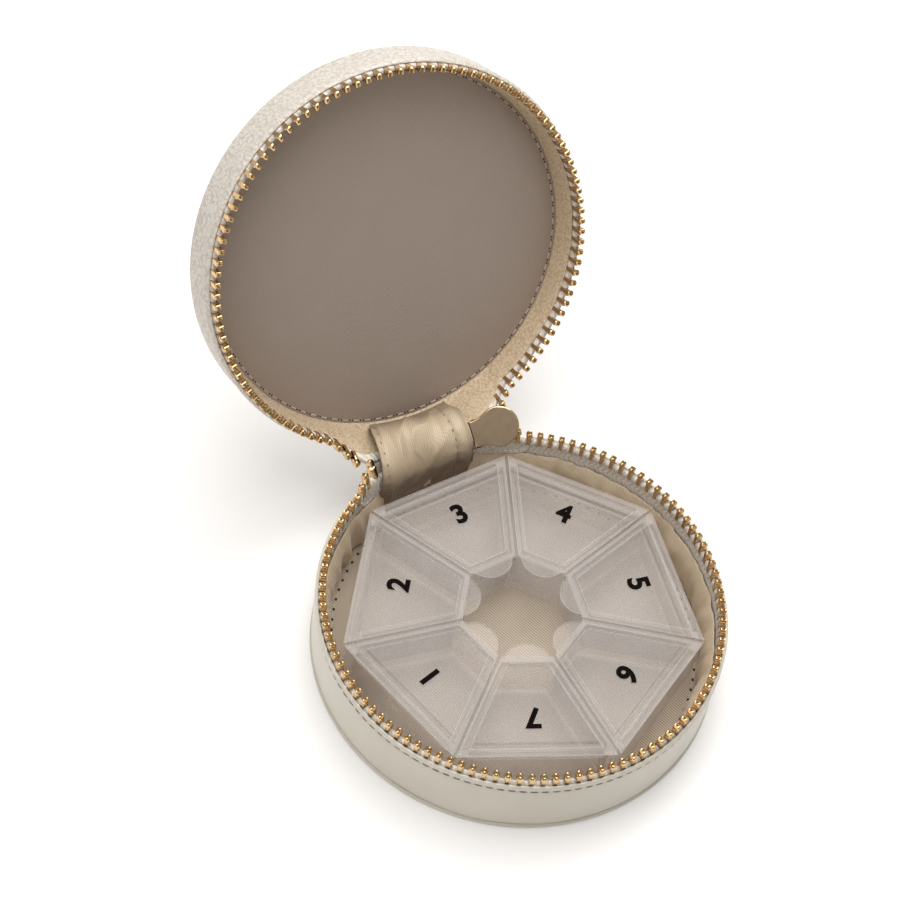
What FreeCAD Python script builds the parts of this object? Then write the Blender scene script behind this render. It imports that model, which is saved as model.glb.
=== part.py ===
import FreeCAD, Part
import math
import os

# Round zip-up pill case, standing open, with a lift-out seven-compartment tray in its base.
# Millimetres. The origin is the centre of the underside, +Z is up, and the hinge is at the back, +Y.
# The case is drawn closed and the lid is then swung open about the hinge to its resting angle.

# Case and zip
RIM_RADIUS = 50.0          # centre line of the zip tape and its teeth
ZIP_HEIGHT = 22.0          # centre line of the closed zip above the table
LID_DEPTH = 14.9           # from the zip's centre line to the top of the closed lid
HINGE_STAND_OFF = 0.52     # fold line of the hinge, outside the leather
HINGE_DROP = 2.5           # and below the zip's centre line
LID_OPEN_ANGLE = 116.8     # resting angle of the lid from closed
ZIP_FOLD_INSET = 1.6       # the zip ends fold about a line of their own, by half the lid's angle:
ZIP_FOLD_DROP = 2.2        # it lies this far inside the teeth and below the zip's centre line

# Leather, boards and linings
LEATHER = 1.05             # thickness of the side bands
PANEL_THICKNESS = 1.1      # bottom leather panel
PANEL_LIP = 0.25           # how far the bottom panel stands out past the side band
TOP_THICKNESS = 1.3
TOP_ROUND = 1.0            # rounding of the lid's upper edge
LAYER_GAP = 0.05           # clearance between layers that are sewn or glued together
SOFT_GAP = 0.3             # clearance round soft pieces
TAPE_THICKNESS = 0.56
TAPE_DEPTH = 8.8           # from the zip's centre line to the base tape's buried edge
TAPE_EDGE = 1.45           # from the zip's centre line to the tape's toothed edge
BASE_HEM_DROP = 1.7        # from the zip's centre line to the base's leather hem
LID_HEM_DROP = 2.9         # and to the lid's
HEM_SWELL = 0.45           # how far the turned hem stands out
HEM_HEIGHT = 2.1
HEM_RELIEF = 0.55          # room between the hem and the teeth
STIFFENER = 1.35
LID_STIFFENER_HEIGHT = 4.7
BOARD_THICKNESS = 0.6
LINING_THICKNESS = 1.2
BASE_LINING_DROP = 7.7     # from the zip's centre line to the lining's sewn edge
LID_LINING_HEIGHT = 2.85
FLOOR_PAD_THICKNESS = 0.8
LID_PAD_THICKNESS = 3.4
LID_PAD_CROWN = 0.8

# Hinge
NOTCH_DEPTH = 6.0          # the bands are cut back this far from the zip's centre line at the hinge
BAND_NOTCH_LEFT = -28.0    # ends of the notch, in degrees clockwise from +Y seen from above
TAPE_NOTCH_LEFT = -24.0
NOTCH_RIGHT = 28.0
BAND_NOTCH_SLOPE = 6.0     # how far the notch's sloping ends run along the rim
TAPE_NOTCH_SLOPE = 3.0
PANEL_LEFT = -20.0         # ends of the hinge's leather strip and satin panel
PANEL_RIGHT = 8.0
STRIP_THICKNESS = 0.8
STRIP_LAP = 4.5            # how far the strip is sewn over each band
SATIN_THICKNESS = 0.5
SATIN_FOLD_MARGIN = 1.0    # the satin starts to fold this far below the notch

# Teeth
TOOTH_SPACING = 2.849      # from tooth to tooth along the tape
FIRST_TOOTH = 28.9         # ends of the base's row, in degrees clockwise from +Y
LAST_TOOTH = 329.4         # the lid's row has one tooth fewer, half a space on
HEAD_RADIUS = 0.85
HEAD_OFFSET = 0.55         # from the zip's centre line to the middle of a tooth's head
HEAD_BEVEL = 0.25
NECK_WIDTH = 1.0
LEG_REACH = 2.9            # from the zip's centre line to the legs' ends
LEG_THICKNESS = 0.53
LEG_GAP = 0.04             # between a leg and the tape
DIMPLE_RADIUS = 0.45
DIMPLE_DEPTH = 0.3
STOP_WIDTH = 2.2           # metal stops at the two ends of the zip
STOP_REACH = 2.6
STOP_START = 9.1           # right-hand stop, degrees clockwise from +Y
STOP_END = -22.9           # left-hand stop
STOP_SPAN = 1.9            # degrees

# Zip slider, parked to the right of the hinge
SLIDER_ANGLE = 19.85       # degrees clockwise from +Y
SLIDER_LENGTH = 12.8
SLIDER_NARROW = 7.0        # width of its narrow end
SLIDER_ROUND = 5.3         # radius of its wide end
SLIDER_SHOULDER = 122      # angle at which the round end meets the waist
SLIDER_WAIST = 0.37        # how far the waist is drawn in
PLATE_THICKNESS = 0.8
INNER_PLATE_GAP = 1.45     # from the tape's centre line to the inner plate
OUTER_PLATE_GAP = 2.1      # the outer plate rides over the leather hem
FLANGE_LENGTH = 5.1
FLANGE_HEIGHT = 0.5
FLANGE_WIDTH = 0.6
WEDGE_LENGTH = 4.0
WEDGE_SETBACK = 0.8        # of the wedge from the plates' wide end
WEDGE_WIDTH = 2.4
CROWN_WIDTH = 1.6
CROWN_SPAN = 6.0
CROWN_HEIGHT = 2.6
CROWN_BAR = 0.9
PULL_PIN_RADIUS = 0.5
PULL_WIDTH = 4.2
PULL_LENGTH = 15.5
PULL_THICKNESS = 1.1
PULL_ARM = 0.8
PULL_NECK = 3.6            # from the pin to the pull's flat tab
PIN_SEAT = 0.85            # from the outer plate to the pull's pin, in the crown

# Tray
TRAY_SIDES = 7
TRAY_TURN = 67.9           # angle of the first corner, anticlockwise from +X
TRAY_HEIGHT = 15.55        # from the tray's underside to the top of its lids
TRAY_CLEARANCE = 1.38      # between the lids' corners and the lining
HOLE_CORNER_RADIUS = 15.6  # over the corners of the open centre
TRAY_WALL = 1.2
TRAY_FLOOR = 1.2
PARTITION = 1.6
TRAY_SETBACK = 0.6         # the tray's wall lies this far inside the lids' outer edge
LID_SKIN = 0.8
LID_FRAME_WIDTH = 2.2
LID_WINDOW_DROP = 0.25
LID_GROOVE = 0.8           # between neighbouring lids
LID_PLUG_DEPTH = 1.3
LID_PLUG_WALL = 0.9
LID_FIT = 0.25             # between a lid's plug and its compartment
LID_REST_GAP = 0.25        # between a lid's skin and the tray's walls
LID_AXIS_DROP = 1.9        # from the top of the lids down to their hinge axis
LID_AXIS_INSET = 1.2       # from the lids' outer edge to their hinge axis
LID_BARREL_RADIUS = 0.75
LID_PIN_RADIUS = 0.5
LID_PIN_LENGTH = 1.6
PIN_CLEARANCE = 0.05       # radial, of a lid's pin in its socket
POST_LENGTH = 3.2          # socket block, measured along the tray's side from its corner
POST_DEPTH = 1.7
THUMB_RADIUS = 6.0
THUMB_REACH = 3.7          # how far the thumb tab stands into the open centre
CORNER_ROUND = 0.6
TRAY_SEAT_GAP = 0.05       # between the tray and the floor pad

UP = FreeCAD.Vector(0, 0, 1)
ORIGIN = FreeCAD.Vector(0, 0, 0)


def vec(x, y, z=0.0):
    return FreeCAD.Vector(x, y, z)


def save(name, shape):
    """Write one sub-part."""
    shape.exportStep("parts/" + name + ".step")


def revolved(profile):
    """Turn a closed (radius, height) outline once round the case's axis."""
    points = [vec(r, 0, z) for r, z in profile]
    wire = Part.makePolygon(points + points[:1])
    return Part.Face(wire).revolve(ORIGIN, UP, 360)


def prism(outline, bottom, top):
    """Upright prism on a closed plan outline."""
    points = [vec(x, y, bottom) for x, y in outline]
    wire = Part.makePolygon(points + points[:1])
    return Part.Face(wire).extrude(vec(0, 0, top - bottom))


def around(angle, radius, z=0.0):
    """Point at an angle clockwise from +Y, seen from above."""
    a = math.radians(angle)
    return vec(radius * math.sin(a), radius * math.cos(a), z)


def set_on_rim(shape, angle, radius=RIM_RADIUS, height=ZIP_HEIGHT):
    """Move a piece drawn along X, outward +Y, up +Z, to its place on the rim."""
    placed = shape.copy()
    placed.rotate(ORIGIN, UP, -angle)
    placed.translate(around(angle, radius, height))
    return placed


def swung_open(shape):
    """Swing a piece of the closed lid to the lid's resting angle."""
    shape.rotate(HINGE_LINE, vec(-1, 0, 0), LID_OPEN_ANGLE)
    return shape


def half_open(shape):
    """Fold a piece of the zip's ends by half the lid's angle."""
    shape.rotate(ZIP_FOLD_LINE, vec(-1, 0, 0), LID_OPEN_ANGLE / 2)
    return shape


def hinge_notch(left_angle, left_slope):
    """Cutter for the gap in both halves, where the hinge lies and the slider parks."""
    left = around(left_angle, RIM_RADIUS).x
    right = around(NOTCH_RIGHT, RIM_RADIUS).x
    outline = [
        (left - left_slope, 0.0), (left, NOTCH_DEPTH), (right, NOTCH_DEPTH),
        (right + TAPE_NOTCH_SLOPE, 0.0), (right, -NOTCH_DEPTH), (left, -NOTCH_DEPTH),
    ]
    near_side = RIM_RADIUS / 2
    points = [vec(x, near_side, ZIP_HEIGHT + h) for x, h in outline]
    face = Part.Face(Part.makePolygon(points + points[:1]))
    return face.extrude(vec(0, RIM_RADIUS, 0))


# Radii of the layers, from the tape outwards and inwards, and their heights
TAPE_OUT = RIM_RADIUS + TAPE_THICKNESS / 2
TAPE_IN = RIM_RADIUS - TAPE_THICKNESS / 2
BAND_IN = TAPE_OUT + 0.15
BAND_OUT = BAND_IN + LEATHER
STIFFENER_OUT = BAND_IN - LAYER_GAP
STIFFENER_IN = STIFFENER_OUT - STIFFENER
LINING_OUT = STIFFENER_IN - LAYER_GAP
LINING_IN = LINING_OUT - LINING_THICKNESS
FLOOR_RADIUS = LINING_OUT - LAYER_GAP
PAD_RADIUS = LINING_OUT - SOFT_GAP
BASE_PANEL_RADIUS = BAND_OUT + PANEL_LIP
HINGE_LINE = vec(0, BAND_OUT + HINGE_STAND_OFF, ZIP_HEIGHT - HINGE_DROP)
ZIP_FOLD_LINE = vec(0, RIM_RADIUS - ZIP_FOLD_INSET, ZIP_HEIGHT - ZIP_FOLD_DROP)
BASE_HEM = ZIP_HEIGHT - BASE_HEM_DROP
LID_HEM = ZIP_HEIGHT + LID_HEM_DROP
TAPE_BURIED = ZIP_HEIGHT - TAPE_DEPTH
BASE_LINING_EDGE = ZIP_HEIGHT - BASE_LINING_DROP
WALL_FOOT = PANEL_THICKNESS + LAYER_GAP
FLOOR_BOARD_TOP = WALL_FOOT + BOARD_THICKNESS
FLOOR_TOP = FLOOR_BOARD_TOP + LAYER_GAP + FLOOR_PAD_THICKNESS
CASE_HEIGHT = ZIP_HEIGHT + LID_DEPTH
LID_WALL_TOP = CASE_HEIGHT - TOP_THICKNESS - LAYER_GAP
LID_STIFFENER_FOOT = LID_WALL_TOP - LID_STIFFENER_HEIGHT
LID_TAPE_BURIED = LID_STIFFENER_FOOT - LAYER_GAP
LID_PAD_BACK = LID_WALL_TOP - BOARD_THICKNESS - LAYER_GAP
LID_PAD_FACE = LID_PAD_BACK - LID_PAD_THICKNESS
LID_LINING_TOP = LID_PAD_FACE - LID_PAD_CROWN - LAYER_GAP
LID_LINING_EDGE = LID_LINING_TOP - LID_LINING_HEIGHT
TOOTH_PITCH = math.degrees(TOOTH_SPACING / RIM_RADIUS)
TOOTH_COUNT = int((LAST_TOOTH - FIRST_TOOTH) / TOOTH_PITCH) + 1


BAND_NOTCH = hinge_notch(BAND_NOTCH_LEFT, BAND_NOTCH_SLOPE)
TAPE_NOTCH = hinge_notch(TAPE_NOTCH_LEFT, TAPE_NOTCH_SLOPE)


def band_profile(start, hem):
    """Leather band from its sewn edge to its turned hem, in radius and height."""
    way = 1 if hem > start else -1
    hem_root = hem - way * HEM_HEIGHT
    return [
        (BAND_IN, start),
        (BAND_OUT, start),
        (BAND_OUT, hem_root),
        (BAND_OUT + HEM_SWELL * 0.8, hem_root + way * HEM_HEIGHT * 0.3),
        (BAND_OUT + HEM_SWELL, hem - way * HEM_HEIGHT * 0.35),
        (BAND_OUT + HEM_SWELL * 0.7, hem - way * HEM_HEIGHT * 0.1),
        (BAND_OUT + HEM_SWELL * 0.2, hem),
        (BAND_IN + HEM_RELIEF, hem - way * HEM_HEIGHT * 0.1),
        (BAND_IN + HEM_RELIEF, hem_root + way * HEM_HEIGHT * 0.3),
        (BAND_IN, hem_root),
    ]


def zip_tape(buried, edge):
    """One half of the zip's tape, from its buried edge to its toothed edge."""
    tape = revolved([(TAPE_IN, buried), (TAPE_OUT, buried), (TAPE_OUT, edge), (TAPE_IN, edge)])
    return tape.cut(TAPE_NOTCH)


def make_base():
    """Base of the case: leather outside, boards, floor pad and satin lining inside."""
    panel_edge = PANEL_THICKNESS * 0.3
    save("base_bottom_panel", revolved([
        (0, 0), (BASE_PANEL_RADIUS - panel_edge, 0), (BASE_PANEL_RADIUS, panel_edge),
        (BASE_PANEL_RADIUS, PANEL_THICKNESS - panel_edge),
        (BASE_PANEL_RADIUS - panel_edge, PANEL_THICKNESS), (0, PANEL_THICKNESS),
    ]))
    save("base_side_band", revolved(band_profile(WALL_FOOT, BASE_HEM)).cut(BAND_NOTCH))
    save("base_stiffener_ring", revolved([
        (STIFFENER_IN, WALL_FOOT), (STIFFENER_OUT, WALL_FOOT),
        (STIFFENER_OUT, TAPE_BURIED - LAYER_GAP), (STIFFENER_IN, TAPE_BURIED - LAYER_GAP),
    ]))
    save("base_bottom_board", revolved([
        (0, WALL_FOOT), (FLOOR_RADIUS, WALL_FOOT), (FLOOR_RADIUS, FLOOR_BOARD_TOP), (0, FLOOR_BOARD_TOP),
    ]))
    pad_foot = FLOOR_TOP - FLOOR_PAD_THICKNESS
    pad_edge = FLOOR_PAD_THICKNESS * 0.4
    save("base_floor_pad", revolved([
        (0, pad_foot), (PAD_RADIUS, pad_foot), (PAD_RADIUS, FLOOR_TOP - pad_edge),
        (PAD_RADIUS - pad_edge, FLOOR_TOP), (0, FLOOR_TOP),
    ]))
    lining_foot = FLOOR_TOP + LAYER_GAP
    swell = LINING_THICKNESS * 0.35
    save("base_wall_lining", revolved([
        (LINING_IN, lining_foot), (LINING_OUT, lining_foot), (LINING_OUT, TAPE_BURIED),
        (TAPE_IN - LAYER_GAP, TAPE_BURIED), (TAPE_IN - LAYER_GAP, BASE_LINING_EDGE),
        (LINING_OUT - swell, BASE_LINING_EDGE), (LINING_IN, BASE_LINING_EDGE - LINING_THICKNESS),
    ]))
    save("base_zipper_tape", zip_tape(TAPE_BURIED, ZIP_HEIGHT - TAPE_EDGE))


def make_lid():
    """Lid of the case, drawn closed and swung open."""
    top_foot = CASE_HEIGHT - TOP_THICKNESS
    rounding = [
        (BAND_OUT - TOP_ROUND + TOP_ROUND * math.sin(math.radians(a)),
         CASE_HEIGHT - TOP_ROUND + TOP_ROUND * math.cos(math.radians(a)))
        for a in range(0, 91, 15)
    ]
    save("lid_top_panel", swung_open(revolved(
        [(0, CASE_HEIGHT)] + rounding + [(BAND_OUT, top_foot), (0, top_foot)])))
    save("lid_side_band", swung_open(revolved(band_profile(LID_WALL_TOP, LID_HEM)).cut(BAND_NOTCH)))
    save("lid_stiffener_ring", swung_open(revolved([
        (STIFFENER_IN, LID_STIFFENER_FOOT), (STIFFENER_OUT, LID_STIFFENER_FOOT),
        (STIFFENER_OUT, LID_WALL_TOP), (STIFFENER_IN, LID_WALL_TOP),
    ])))
    board_foot = LID_WALL_TOP - BOARD_THICKNESS
    save("lid_board", swung_open(revolved([
        (0, board_foot), (FLOOR_RADIUS, board_foot), (FLOOR_RADIUS, LID_WALL_TOP), (0, LID_WALL_TOP),
    ])))
    crown = [
        (PAD_RADIUS * t, LID_PAD_FACE - LID_PAD_CROWN * math.cos(math.pi / 2 * t ** 3))
        for t in (0.0, 0.3, 0.5, 0.7, 0.85, 0.95)
    ]
    save("lid_pad", swung_open(revolved(crown + [
        (PAD_RADIUS, LID_PAD_FACE + LID_PAD_CROWN), (PAD_RADIUS, LID_PAD_BACK), (0, LID_PAD_BACK),
    ])))
    save("lid_wall_lining", swung_open(revolved([
        (LINING_IN, LID_LINING_EDGE + LINING_THICKNESS),
        (LINING_OUT - LINING_THICKNESS * 0.35, LID_LINING_EDGE),
        (TAPE_IN - LAYER_GAP, LID_LINING_EDGE), (TAPE_IN - LAYER_GAP, LID_TAPE_BURIED),
        (LINING_OUT, LID_TAPE_BURIED), (LINING_OUT, LID_LINING_TOP), (LINING_IN, LID_LINING_TOP),
    ])))
    save("lid_zipper_tape", swung_open(zip_tape(LID_TAPE_BURIED, ZIP_HEIGHT + TAPE_EDGE)))


def make_tooth():
    """One tooth of the base's row, drawn along X, outward +Y, its tape hanging below."""
    depth = TAPE_THICKNESS / 2 + LEG_GAP + LEG_THICKNESS
    barrel = Part.makeCylinder(HEAD_RADIUS, 2 * depth, vec(0, -depth, HEAD_OFFSET), vec(0, 1, 0))
    rims = [edge for edge in barrel.Edges if edge.isClosed()]
    barrel = barrel.makeChamfer(HEAD_BEVEL, rims)
    crotch = -TAPE_EDGE + LEG_GAP
    neck = Part.makeBox(NECK_WIDTH, 2 * depth, HEAD_OFFSET - crotch, vec(-NECK_WIDTH / 2, -depth, crotch))
    tooth = barrel.fuse(neck)
    for side in (-1, 1):
        inner = TAPE_THICKNESS / 2 + LEG_GAP
        foot = inner if side > 0 else -inner - LEG_THICKNESS
        leg = Part.makeBox(NECK_WIDTH, LEG_THICKNESS, LEG_REACH + crotch + LEG_GAP,
                           vec(-NECK_WIDTH / 2, foot, -LEG_REACH))
        tooth = tooth.fuse(leg)
    dimple = Part.makeCone(0, DIMPLE_RADIUS, DIMPLE_DEPTH, vec(0, 0, HEAD_OFFSET + HEAD_RADIUS - DIMPLE_DEPTH))
    return tooth.cut(dimple)


def make_teeth():
    """The two rows of teeth, the lid's half a pitch on so that they mesh."""
    tooth = make_tooth()
    base_row = [set_on_rim(tooth, FIRST_TOOTH + TOOTH_PITCH * i) for i in range(TOOTH_COUNT)]
    save("base_zipper_teeth", Part.makeCompound(base_row))
    upper = tooth.copy()
    upper.rotate(ORIGIN, vec(0, 1, 0), 180)
    lid_row = [set_on_rim(upper, FIRST_TOOTH + TOOTH_PITCH * (i + 0.5)) for i in range(TOOTH_COUNT - 1)]
    save("lid_zipper_teeth", swung_open(Part.makeCompound(lid_row)))


def make_zip_stop(start):
    """Metal stop that clamps both tapes together, over a few degrees of the rim."""
    half = math.radians(STOP_SPAN) * RIM_RADIUS / 2
    block = Part.makeBox(2 * half, STOP_WIDTH, 2 * STOP_REACH, vec(-half, -STOP_WIDTH / 2, -STOP_REACH))
    block = block.makeFillet(STOP_WIDTH * 0.25, block.Edges)
    return half_open(set_on_rim(block, start + STOP_SPAN / 2))


def slider_outline(offset):
    """Shield outline of the slider's plates: round at its wide end, straight at its narrow end."""
    front = SLIDER_LENGTH / 2
    centre = front - SLIDER_ROUND
    shoulder = math.radians(SLIDER_SHOULDER)
    sx = centre + SLIDER_ROUND * math.cos(shoulder)
    sz = SLIDER_ROUND * math.sin(shoulder)
    half = SLIDER_NARROW / 2
    waist = (half + sz) / 2 - SLIDER_WAIST
    mid = (sx - front) / 2
    upper_left = vec(-front, offset, half)
    lower_left = vec(-front, offset, -half)
    upper = vec(sx, offset, sz)
    lower = vec(sx, offset, -sz)
    edges = [
        Part.LineSegment(lower_left, upper_left).toShape(),
        Part.Arc(upper_left, vec(mid, offset, waist), upper).toShape(),
        Part.Arc(upper, vec(front, offset, 0), lower).toShape(),
        Part.Arc(lower, vec(mid, offset, -waist), lower_left).toShape(),
    ]
    return Part.Face(Part.Wire(edges))


def on_slider(shape):
    """Set a piece of the slider at its parked place, folded with the zip's ends."""
    return half_open(set_on_rim(shape, SLIDER_ANGLE))


def make_slider():
    """Slider: two plates joined by a wedge, a crown on the outer plate and the pull hanging in it."""
    front = SLIDER_LENGTH / 2
    half = SLIDER_NARROW / 2
    inner = slider_outline(-INNER_PLATE_GAP).extrude(vec(0, -PLATE_THICKNESS, 0))
    flange_foot = -INNER_PLATE_GAP
    for side in (-1, 1):
        low = half - FLANGE_WIDTH if side > 0 else -half
        flange = Part.makeBox(FLANGE_LENGTH, FLANGE_HEIGHT, FLANGE_WIDTH,
                              vec(-front, flange_foot, low))
        inner = inner.fuse(flange)
    save("slider_inner_plate", on_slider(inner.removeSplitter()))
    outer_face = OUTER_PLATE_GAP + PLATE_THICKNESS
    save("slider_outer_plate", on_slider(slider_outline(OUTER_PLATE_GAP).extrude(vec(0, PLATE_THICKNESS, 0))))
    wedge_end = front - WEDGE_SETBACK
    wedge_tip = wedge_end - WEDGE_LENGTH
    wedge_mid = (wedge_tip + wedge_end) / 2
    column = Part.Wire([
        Part.Arc(vec(wedge_tip, 0, 0), vec(wedge_mid, 0, WEDGE_WIDTH / 2), vec(wedge_end, 0, 0)).toShape(),
        Part.Arc(vec(wedge_end, 0, 0), vec(wedge_mid, 0, -WEDGE_WIDTH / 2), vec(wedge_tip, 0, 0)).toShape(),
    ])
    column.translate(vec(0, -INNER_PLATE_GAP, 0))
    wedge = Part.Face(column).extrude(vec(0, INNER_PLATE_GAP + OUTER_PLATE_GAP, 0))
    save("slider_wedge", on_slider(wedge))
    crown = Part.makeBox(CROWN_SPAN, CROWN_HEIGHT, CROWN_WIDTH,
                         vec(-CROWN_SPAN / 2, outer_face, -CROWN_WIDTH / 2))
    corners = [e for e in crown.Edges
               if abs(e.Vertexes[0].Y - e.Vertexes[-1].Y) < 1e-6
               and e.Vertexes[0].Y > outer_face + 1
               and abs(e.Vertexes[0].X - e.Vertexes[-1].X) < 1e-6]
    crown = crown.makeFillet(CROWN_HEIGHT * 0.45, corners)
    opening = Part.makeBox(CROWN_SPAN - 2 * CROWN_BAR, CROWN_HEIGHT - CROWN_BAR, CROWN_WIDTH * 2,
                           vec(-CROWN_SPAN / 2 + CROWN_BAR, outer_face, -CROWN_WIDTH))
    save("slider_crown", on_slider(crown.cut(opening)))
    pin_y = outer_face + PIN_SEAT
    pull = Part.makeCylinder(PULL_PIN_RADIUS, PULL_WIDTH, vec(0, pin_y, -PULL_WIDTH / 2), UP)
    for side in (-1, 1):
        low = PULL_WIDTH / 2 - PULL_ARM if side > 0 else -PULL_WIDTH / 2
        arm = Part.makeBox(PULL_THICKNESS, PULL_NECK + PULL_THICKNESS, PULL_ARM,
                           vec(-PULL_THICKNESS / 2, pin_y, low))
        pull = pull.fuse(arm)
    tab = Part.makeBox(PULL_THICKNESS, PULL_LENGTH - PULL_NECK, PULL_WIDTH,
                       vec(-PULL_THICKNESS / 2, pin_y + PULL_NECK, -PULL_WIDTH / 2))
    ends = [e for e in tab.Edges
            if abs(e.Vertexes[0].X - e.Vertexes[-1].X) > 0.1 and e.Vertexes[0].Y > pin_y + PULL_LENGTH - 1e-3]
    tab = tab.makeFillet(PULL_WIDTH * 0.4, ends)
    pull = pull.fuse(tab).removeSplitter()
    pull.rotate(vec(0, pin_y, 0), UP, SLIDER_ANGLE)
    save("zip_pull", on_slider(pull))
    return pin_y


def hinge_section(radius, thickness, height, swing):
    """Cross-section of a piece of the hinge, swung part of the way to the open lid."""
    outer = radius + thickness
    middle = (PANEL_LEFT + PANEL_RIGHT) / 2
    corners = [around(PANEL_LEFT, radius, height), around(PANEL_RIGHT, radius, height),
               around(PANEL_RIGHT, outer, height), around(PANEL_LEFT, outer, height)]
    edges = [
        Part.Arc(corners[0], around(middle, radius, height), corners[1]).toShape(),
        Part.LineSegment(corners[1], corners[2]).toShape(),
        Part.Arc(corners[2], around(middle, outer, height), corners[3]).toShape(),
        Part.LineSegment(corners[3], corners[0]).toShape(),
    ]
    section = Part.Wire(edges)
    section.rotate(HINGE_LINE, vec(-1, 0, 0), swing)
    return section


def hinge_sheet(radius, thickness, foot, fold_start, fold_end, head, steps=8):
    """Sheet that rises up the base, folds over the hinge and runs on into the lid."""
    sections = [hinge_section(radius, thickness, foot, 0.0)]
    for i in range(steps + 1):
        t = i / steps
        eased = t * t * (3 - 2 * t)
        sections.append(hinge_section(radius, thickness, fold_start + (fold_end - fold_start) * t,
                                      LID_OPEN_ANGLE * eased))
    sections.append(hinge_section(radius, thickness, head, LID_OPEN_ANGLE))
    return Part.makeLoft(sections, True, True)


def make_hinge():
    """Leather strip outside and satin panel inside, both sewn to the base and to the lid."""
    notch_low = ZIP_HEIGHT - NOTCH_DEPTH
    notch_high = ZIP_HEIGHT + NOTCH_DEPTH
    save("hinge_outer_strip", hinge_sheet(
        BAND_OUT + LAYER_GAP, STRIP_THICKNESS, notch_low - STRIP_LAP, notch_low, notch_high,
        notch_high + STRIP_LAP))
    satin_outer = LINING_IN - LAYER_GAP
    save("hinge_satin_panel", hinge_sheet(
        satin_outer - SATIN_THICKNESS, SATIN_THICKNESS, FLOOR_TOP + LAYER_GAP,
        notch_low - SATIN_FOLD_MARGIN, notch_high + SATIN_FOLD_MARGIN, LID_LINING_TOP))


# Distances of the tray's and the lids' sides from the centre, and their heights
APOTHEM = math.cos(math.pi / TRAY_SIDES)
SIDE_STEP = 360.0 / TRAY_SIDES
TRAY_FOOT = FLOOR_TOP + TRAY_SEAT_GAP
TRAY_TOP = TRAY_FOOT + TRAY_HEIGHT
LID_EDGE = (LINING_IN - TRAY_CLEARANCE) * APOTHEM
TRAY_EDGE = LID_EDGE - TRAY_SETBACK
HOLE_EDGE = HOLE_CORNER_RADIUS * APOTHEM
LID_AXIS_R = LID_EDGE - LID_AXIS_INSET
LID_AXIS_Z = TRAY_TOP - LID_AXIS_DROP
SKIN_FOOT = TRAY_TOP - LID_SKIN
WALL_TOP = SKIN_FOOT - LID_REST_GAP


def polygon(edge_distance):
    """Corners of the seven-sided outline whose sides lie at this distance from the centre."""
    radius = edge_distance / APOTHEM
    return [
        (radius * math.cos(math.radians(TRAY_TURN + SIDE_STEP * k)),
         radius * math.sin(math.radians(TRAY_TURN + SIDE_STEP * k)))
        for k in range(TRAY_SIDES)
    ]


def sector_outline(inner, outer, margin):
    """One compartment's outline, drawn outward along +X between two sides of the seven."""
    slope = math.tan(math.pi / TRAY_SIDES)
    inset = margin / math.cos(math.pi / TRAY_SIDES)
    return [
        (inner, -(inner * slope - inset)), (outer, -(outer * slope - inset)),
        (outer, outer * slope - inset), (inner, inner * slope - inset),
    ]


def side_angle(k):
    """Direction of the middle of side k, anticlockwise from +X."""
    return TRAY_TURN + SIDE_STEP * (k + 0.5)


def rounded_prism(outline, bottom, top, radius):
    """Prism with its upright edges rounded."""
    block = prism(outline, bottom, top)
    upright = [e for e in block.Edges if abs(e.Vertexes[0].Z - e.Vertexes[-1].Z) > (top - bottom) / 2]
    return block.makeFillet(radius, upright)


def make_tray():
    """Seven-sided tray with a compartment on each side and hinge sockets at its corners."""
    tray = prism(polygon(TRAY_EDGE), TRAY_FOOT, WALL_TOP)
    tray = tray.cut(prism(polygon(HOLE_EDGE), TRAY_FOOT - 1, WALL_TOP + 1))
    pocket = rounded_prism(
        sector_outline(HOLE_EDGE + TRAY_WALL, TRAY_EDGE - TRAY_WALL, PARTITION / 2),
        TRAY_FOOT + TRAY_FLOOR, WALL_TOP + 1, CORNER_ROUND)
    half_side = TRAY_EDGE * math.tan(math.pi / TRAY_SIDES)
    barrel_half = half_side - POST_LENGTH
    barrel_room = LID_BARREL_RADIUS + LID_FIT
    notch = Part.makeBox(TRAY_WALL + POST_DEPTH + 1, 2 * barrel_half, WALL_TOP + 1 - (LID_AXIS_Z - barrel_room),
                         vec(TRAY_EDGE - TRAY_WALL - POST_DEPTH, -barrel_half, LID_AXIS_Z - barrel_room))
    clip = prism(polygon(TRAY_EDGE), TRAY_FOOT, WALL_TOP)
    for k in range(TRAY_SIDES):
        cut = pocket.copy()
        cut.rotate(ORIGIN, UP, side_angle(k))
        tray = tray.cut(cut)
    socket_depth = LID_PIN_LENGTH + LID_FIT
    for k in range(TRAY_SIDES):
        posts = []
        for side in (-1, 1):
            low = barrel_half if side > 0 else -half_side
            post = Part.makeBox(POST_DEPTH, POST_LENGTH, WALL_TOP - (LID_AXIS_Z - POST_DEPTH),
                                vec(TRAY_EDGE - POST_DEPTH, low, LID_AXIS_Z - POST_DEPTH))
            post.rotate(ORIGIN, UP, side_angle(k))
            posts.append(post.common(clip))
        tray = tray.fuse(posts)
    for k in range(TRAY_SIDES):
        room = notch.copy()
        sockets = Part.makeCylinder(LID_PIN_RADIUS + PIN_CLEARANCE, 2 * (barrel_half + socket_depth),
                                    vec(LID_AXIS_R, -barrel_half - socket_depth, LID_AXIS_Z), vec(0, 1, 0))
        room = room.fuse(sockets)
        room.rotate(ORIGIN, UP, side_angle(k))
        tray = tray.cut(room)
    save("tray_body", tray.removeSplitter())


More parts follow.
